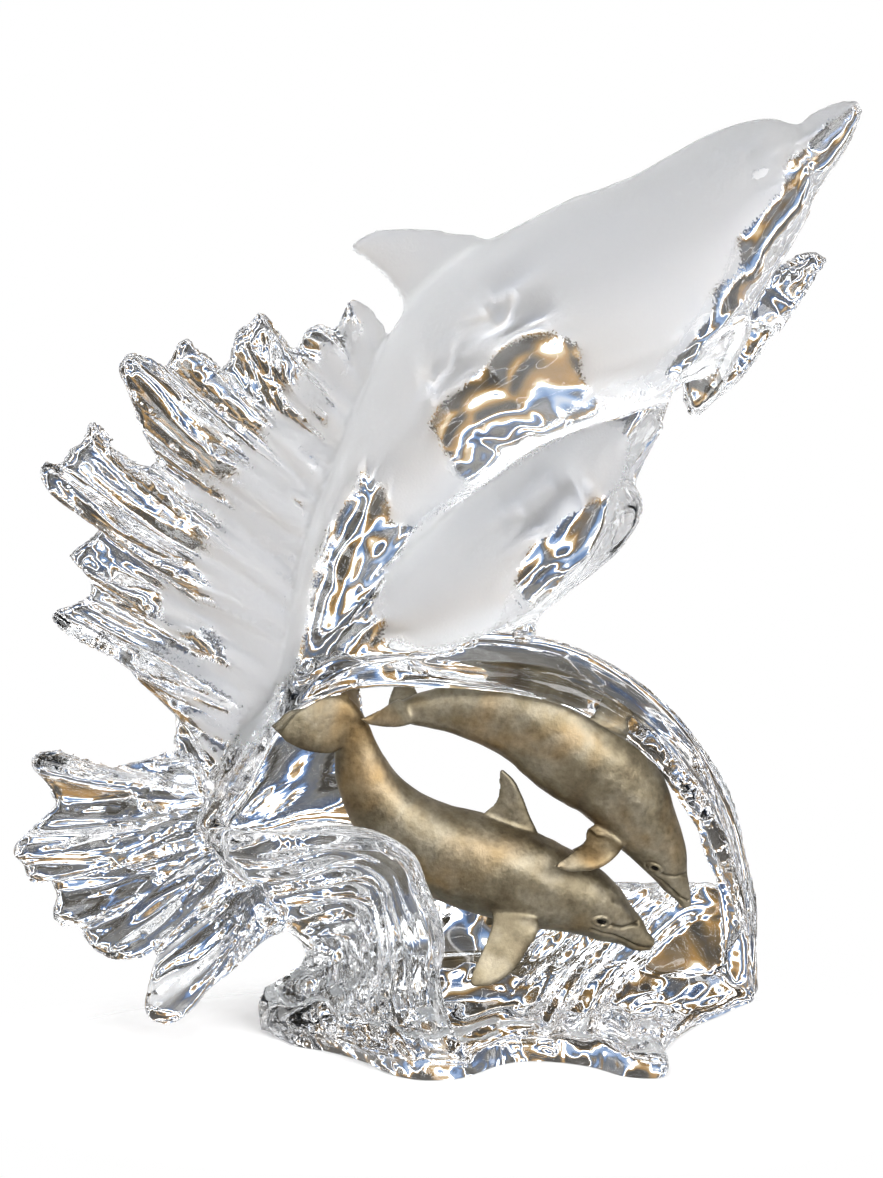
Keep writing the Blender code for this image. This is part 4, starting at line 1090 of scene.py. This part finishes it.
def make_acrylic(material):
    """The whole clear casting: melted, cleaned, wrinkled, marked with its finish and cut level."""
    shells = acrylic_shells()
    mesh = melted(shells, ACRYLIC_VOXEL)
    ironed(mesh, ACRYLIC_IRONING)
    points = mesh_points(mesh)
    ways, sure, kind = carried_ways(points, shells)
    frost = frost_at(points, ways)
    bodily = kind < BODY_KINDS
    filleted(mesh, ACRYLIC_FILLET, bodily.astype(float))
    wrinkle = sway(points, BODY_WRINKLE, 101) + sway(points, BODY_PUCKER, 102)
    behind = BODY_FRONT_SHARE + (1 - BODY_FRONT_SHARE) * ease(0, BODY_BACK, points[:, 1] - BODY_PLANE)
    relief = wrinkle * behind * bodily * (1 - frost)
    relief += side_marks(points, BODY_PLANE, LEAPER_MARKS) * bodily
    eye = eye_reach(points, BODY_PLANE, *LEAPER_EYE)
    relief += eye_relief(eye, LEAPER_LIDS) * bodily
    along_normals(mesh, relief)
    ironed(mesh, 1)
    edges = mesh_edges(mesh)
    calm = sure[:, None]
    for _ in range(SEAM_BLUR):
        calm = np.minimum(calm, neighbour_mean(calm, edges))
    add_values(mesh, "frost", frost * ease(*EYE_POLISHED, eye))
    add_values(mesh, "way", np.column_stack([ways, kind * KIND_STEP]))
    smoother = np.where(kind == RIBBON_KIND, RIBBON_STREAK, 1)
    add_values(mesh, "streak", calm[:, 0] * (1 - frost) * smoother)
    low, high = (np.array(corner) / MM for corner in cad_box)
    low[2] = -np.inf
    set_points(mesh, np.clip(mesh_points(mesh), low, high))
    cut_level(mesh)
    add_piece(mesh, "cast_acrylic", "acrylic_wave_and_dolphin", material)


def metal_shells(stations, back_fin, breast_fins, flukes):
    """Body, fins and flukes of a metal dolphin, each blade with half its thickness at root and tip."""
    shells = [body_shell(stations, 150, 90), blade_shell(back_fin, 3.2, 0.9, 40, 36)]
    shells += [blade_shell(fin, 2.8, 1.1, 40, 32) for fin in breast_fins]
    shells += [blade_shell(fluke, 2.6, 1.1, 40, 32) for fluke in flukes]
    return shells


def make_dolphin(name, node, shells, plane, eye, marks, material):
    """A metal dolphin: melted, filleted, its mouth and eyes carved, its skin slightly uneven."""
    mesh = melted(shells, METAL_VOXEL)
    ironed(mesh, METAL_IRONING)
    filleted(mesh, METAL_FILLET, 1.0)
    points = mesh_points(mesh)
    reach = eye_reach(points, plane, *eye)
    carved = side_marks(points, plane, marks)
    uneven = sway(points, METAL_DENT, 111) + sway(points, METAL_WAVE, 112)
    along_normals(mesh, carved + eye_relief(reach, METAL_LIDS) + uneven)
    add_values(mesh, "crease", np.clip(-carved / CREASE_DEPTH, 0, 1))
    add_values(mesh, "eye", ease(*EYE_DARK, reach))
    for face in mesh.polygons:
        face.use_smooth = True
    add_piece(mesh, name, node, material)


def linear(hex_colour):
    """Linear colour with full cover, from its sRGB hex digits."""
    srgb = [int(hex_colour[i : i + 2], 16) / 255 for i in (0, 2, 4)]
    return (*[c / 12.92 if c <= 0.04045 else ((c + 0.055) / 1.055) ** 2.4 for c in srgb], 1.0)


def set_inputs(tree, node, inputs):
    """Gives each of a node's inputs its value, or links it from the output of another node."""
    for name, value in inputs.items():
        if isinstance(value, bpy.types.NodeSocket):
            tree.links.new(value, node.inputs[name])
        else:
            node.inputs[name].default_value = value


def add_node(tree, kind, inputs=(), gives=0, stops=(), **settings):
    """Adds a node with its settings, a colour ramp's stops and its inputs. Gives one of its outputs.

    Inputs are named, or stand in the node's own order.
    """
    node = tree.nodes.new("ShaderNode" + kind)
    for name, value in settings.items():
        setattr(node, name, value)
    for number, (place, hex_colour) in enumerate(stops):
        marks = node.color_ramp.elements
        while len(marks) < len(stops):
            marks.new(0.5)
        marks[number].position = place
        marks[number].color = linear(hex_colour)
    set_inputs(tree, node, inputs if isinstance(inputs, dict) else dict(enumerate(inputs)))
    return node.outputs[gives]


def scale_for(width):
    """Scale of a pattern whose marks are this many millimetres wide."""
    return 1 / (width * MM)


def new_material(name):
    """Empty material with its tree of nodes and its surface shader."""
    material = bpy.data.materials.new(name)
    material.use_nodes = True
    return material, material.node_tree, material.node_tree.nodes["Principled BSDF"]


def acrylic_material():
    """Cast acrylic, flame polished where clear and sandblasted where matt.

    The clear parts bend the studio's pale and dark panels into streaks. The matt parts spread the
    light into a soft white, and their border is speckled, as grit leaves it round a mask.
    """
    material, tree, shader = new_material("cast acrylic, flame polished and sandblasted")
    place = add_node(tree, "TexCoord", gives="Object")

    # Grit marks pit the matt parts and speckle their border
    gritty = {"Vector": place, "Scale": scale_for(GRIT_WIDTH * GRIT_DRAWN_COARSER), "Detail": 2.0}
    grit = add_node(tree, "TexNoise", gritty)
    frost = add_node(tree, "Attribute", gives="Fac", attribute_name="frost")
    off = add_node(tree, "Math", [grit, 0.5], operation="SUBTRACT")
    speckled = add_node(tree, "Math", [off, SPECKLE, frost], operation="MULTIPLY_ADD")
    matt = [speckled, *MATT_BORDER, 0.0, MATT_ROUGHNESS]
    rough = add_node(tree, "MapRange", matt, interpolation_type="SMOOTHSTEP")

    # Fine streaks lie along the way that the water runs, a few millimetres apart
    way = add_node(tree, "Attribute", gives="Vector", attribute_name="way")
    fine = (1 / STREAK_WIDTH, 1 / STREAK_LENGTH, 1.0)
    drawn = add_node(tree, "Mapping", {"Vector": way, "Scale": fine})
    streaky = {"Vector": drawn, "Scale": 1.0, "Detail": 1.5, "Distortion": 0.6}
    streaks = add_node(tree, "TexNoise", streaky)
    clear = add_node(tree, "Attribute", gives="Fac", attribute_name="streak")
    flow = {"Strength": clear, "Distance": STREAK_DEPTH * MM, "Height": streaks}
    streaked = add_node(tree, "Bump", flow)
    pits = {"Strength": frost, "Distance": GRIT_DEPTH * MM, "Height": grit, "Normal": streaked}
    finish = {
        "Base Color": linear(ACRYLIC_TONE),
        "Transmission Weight": 1.0,
        "IOR": ACRYLIC_IOR,
        "Roughness": rough,
        "Normal": add_node(tree, "Bump", pits),
    }
    set_inputs(tree, shader, finish)
    return material


def bronze_material():
    """Cast bronze with a brown and olive patina, rubbed to a satin.

    Broad clouds of patina and rubbed golden patches lie over a fine sand-cast grain, which breaks
    the highlight up. The eyes are darker and smoother.
    """
    material, tree, shader = new_material("cast bronze, patinated and rubbed to a satin")
    place = add_node(tree, "TexCoord", gives="Object")
    cloudy = {"Vector": place, "Scale": scale_for(PATINA_WIDTH), "Detail": 3.0, "Roughness": 0.55}
    clouds = add_node(tree, "TexNoise", cloudy)
    patina = add_node(tree, "ValToRGB", [clouds], stops=PATINA_TONES)
    patchy = {"Vector": place, "Scale": scale_for(RUBBED_WIDTH), "Detail": 2.0, "Distortion": 0.5}
    patches = add_node(tree, "TexNoise", patchy)
    rubbed = add_node(tree, "MapRange", [patches, *RUBBED_SPREAD, 0.0, RUBBED_SHARE])
    golden = {MIX_SHARE: rubbed, MIX_FIRST: patina, MIX_SECOND: linear(RUBBED_GOLD)}
    warm = add_node(tree, "Mix", golden, MIXED, data_type="RGBA")

    # Sand-cast grain, darker in its pits
    sandy = {"Vector": place, "Scale": scale_for(SAND_WIDTH), "Detail": 4.0, "Roughness": 0.65}
    sand = add_node(tree, "TexNoise", sandy)
    shade = add_node(tree, "MapRange", [sand, *SAND_SPREAD, *SAND_SHADE])
    shaded = {MIX_SHARE: 1.0, MIX_FIRST: warm, MIX_SECOND: shade}
    mottled = add_node(tree, "Mix", shaded, MIXED, data_type="RGBA", blend_type="MULTIPLY")

    # Patina gathers in the carved creases and stays dark there
    crease = add_node(tree, "Attribute", gives="Fac", attribute_name="crease")
    gathered = add_node(tree, "MapRange", {"Value": crease, "To Max": CREASE_SHARE})
    dark = {MIX_SHARE: gathered, MIX_FIRST: mottled, MIX_SECOND: linear(CREASE_TONE)}
    lined = add_node(tree, "Mix", dark, MIXED, data_type="RGBA")
    eye = add_node(tree, "Attribute", gives="Fac", attribute_name="eye")
    eyed = {MIX_SHARE: eye, MIX_FIRST: lined, MIX_SECOND: linear(EYE_TONE)}
    satin = add_node(tree, "MapRange", [sand, *SAND_SPREAD, *SATIN_ROUGHNESS])
    pits = {"Strength": 0.5, "Distance": SAND_DEPTH * MM, "Height": sand}
    finish = {
        "Base Color": add_node(tree, "Mix", eyed, MIXED, data_type="RGBA"),
        "Metallic": 1.0,
        "Roughness": add_node(tree, "Math", [eye, EYE_GLOSS, satin], operation="MULTIPLY_ADD"),
        "Normal": add_node(tree, "Bump", pits),
    }
    set_inputs(tree, shader, finish)
    return material


def add_floor():
    """Matt white table, faintly uneven as painted board is, which fades out into the white sweep."""
    bpy.ops.mesh.primitive_circle_add(vertices=128, radius=1, fill_type="NGON", location=FLOOR_PLACE)
    floor = bpy.context.object
    floor.name = "floor"
    floor.scale = FLOOR_REACH
    material, tree, shader = new_material("matt white painted board")
    place = add_node(tree, "TexCoord", gives="Object")
    cloud = add_node(tree, "TexNoise", {"Vector": place, "Scale": FLOOR_CLOUDS})
    out = add_node(tree, "VectorMath", [place], "Value", operation="LENGTH")
    faded = [out, FLOOR_FADE, 1.0, 1.0, 0.0]
    finish = {
        "Base Color": add_node(tree, "ValToRGB", [cloud], stops=FLOOR_TONES),
        "Roughness": 0.9,
        "Alpha": add_node(tree, "MapRange", faded, interpolation_type="SMOOTHSTEP"),
    }
    set_inputs(tree, shader, finish)
    floor.data.materials.append(material)


def add_camera():
    """Long lens at the photograph's height, which takes in the whole sculpture."""
    camera = bpy.data.cameras.new("camera")
    camera.sensor_fit = "VERTICAL"
    camera.sensor_height = SENSOR
    camera.lens = SENSOR * CAMERA_DISTANCE / VIEW_HEIGHT
    thing = bpy.data.objects.new("camera", camera)
    back = Vector((0, -math.cos(CAMERA_DROP), math.sin(CAMERA_DROP)))
    thing.location = (Vector(CAMERA_AIM) + back * CAMERA_DISTANCE) * MM
    thing.rotation_euler = (-back).to_track_quat("-Z", "Y").to_euler()
    bpy.context.scene.collection.objects.link(thing)
    bpy.context.scene.camera = thing


def add_soft_box(name, place, size, watts):
    """White square lamp turned to the middle of the table."""
    light = bpy.data.lights.new(name, "AREA")
    light.shape = "SQUARE"
    light.size = size
    light.energy = watts
    thing = bpy.data.objects.new(name, light)
    thing.location = place
    thing.rotation_euler = (-Vector(place)).to_track_quat("-Z", "Y").to_euler()
    bpy.context.scene.collection.objects.link(thing)


def light_studio():
    """White sweep for the camera and two soft boxes.

    The room that the acrylic bends has pale and dark panels in it, paler towards the sweep, and bare
    lamps that give the bright rims and sparks.
    """
    world = bpy.data.worlds.new("studio")
    bpy.context.scene.world = world
    world.use_nodes = True
    tree = world.node_tree
    way = add_node(tree, "TexCoord", gives="Generated")
    drawn = {"Vector": way, "W": ROOM_DRAW, "Scale": ROOM_PANELS, "Detail": 1.0, "Distortion": ROOM_BENT}
    panels = add_node(tree, "TexNoise", drawn, noise_dimensions="4D")
    spread = add_node(tree, "MapRange", [panels, *ROOM_SPREAD])
    toned = add_node(tree, "ValToRGB", [spread], stops=ROOM_TONES)
    facing = add_node(tree, "VectorMath", [way, SWEEP_WAY], "Value", operation="DOT_PRODUCT")
    lit = add_node(tree, "MapRange", [facing, *SWEEP_SPREAD, ROOM_DARK, ROOM_PALE])
    dimming = {MIX_SHARE: 1.0, MIX_FIRST: toned, MIX_SECOND: lit}
    dimmed = add_node(tree, "Mix", dimming, MIXED, data_type="RGBA", blend_type="MULTIPLY")
    glow = (LAMP_GLOW, LAMP_GLOW, LAMP_GLOW)
    dark, bright = "000000", "FFFFFF"
    lamp_stops = []
    for middle in LAMP_PLACES:
        lamp_stops += [(middle - LAMP_WIDTH, dark), (middle, bright), (middle + LAMP_WIDTH, dark)]
    bare = add_node(tree, "ValToRGB", [spread], stops=lamp_stops)
    room = add_node(tree, "VectorMath", [bare, glow, dimmed], operation="MULTIPLY_ADD")
    seen = add_node(tree, "LightPath", gives="Is Camera Ray")
    sweep = {MIX_SHARE: seen, MIX_FIRST: room, MIX_SECOND: linear(bright)}
    mixed = add_node(tree, "Mix", sweep, MIXED, data_type="RGBA")
    tree.links.new(mixed, tree.nodes["Background"].inputs["Color"])
    add_soft_box("key_box", *KEY_BOX)
    add_soft_box("fill_box", *FILL_BOX)


add_camera()
add_floor()
light_studio()
make_acrylic(acrylic_material())
bronze = bronze_material()
lower = metal_shells(LOWER_DOLPHIN, LOWER_BACK_FIN, LOWER_BREAST_FINS, LOWER_FLUKES)
upper = metal_shells(UPPER_DOLPHIN, UPPER_BACK_FIN, UPPER_BREAST_FINS, UPPER_FLUKES)
lower_head = (LOWER_PLANE, LOWER_EYE, LOWER_MARKS)
upper_head = (UPPER_PLANE, UPPER_EYE, UPPER_MARKS)
make_dolphin("cast_lower_dolphin", "lower_metal_dolphin", lower, *lower_head, bronze)
make_dolphin("cast_upper_dolphin", "upper_metal_dolphin", upper, *upper_head, bronze)

render = bpy.context.scene.cycles
render.max_bounces = LIGHT_BOUNCES
render.transmission_bounces = LIGHT_BOUNCES
bpy.context.scene.view_settings.view_transform = "Standard"
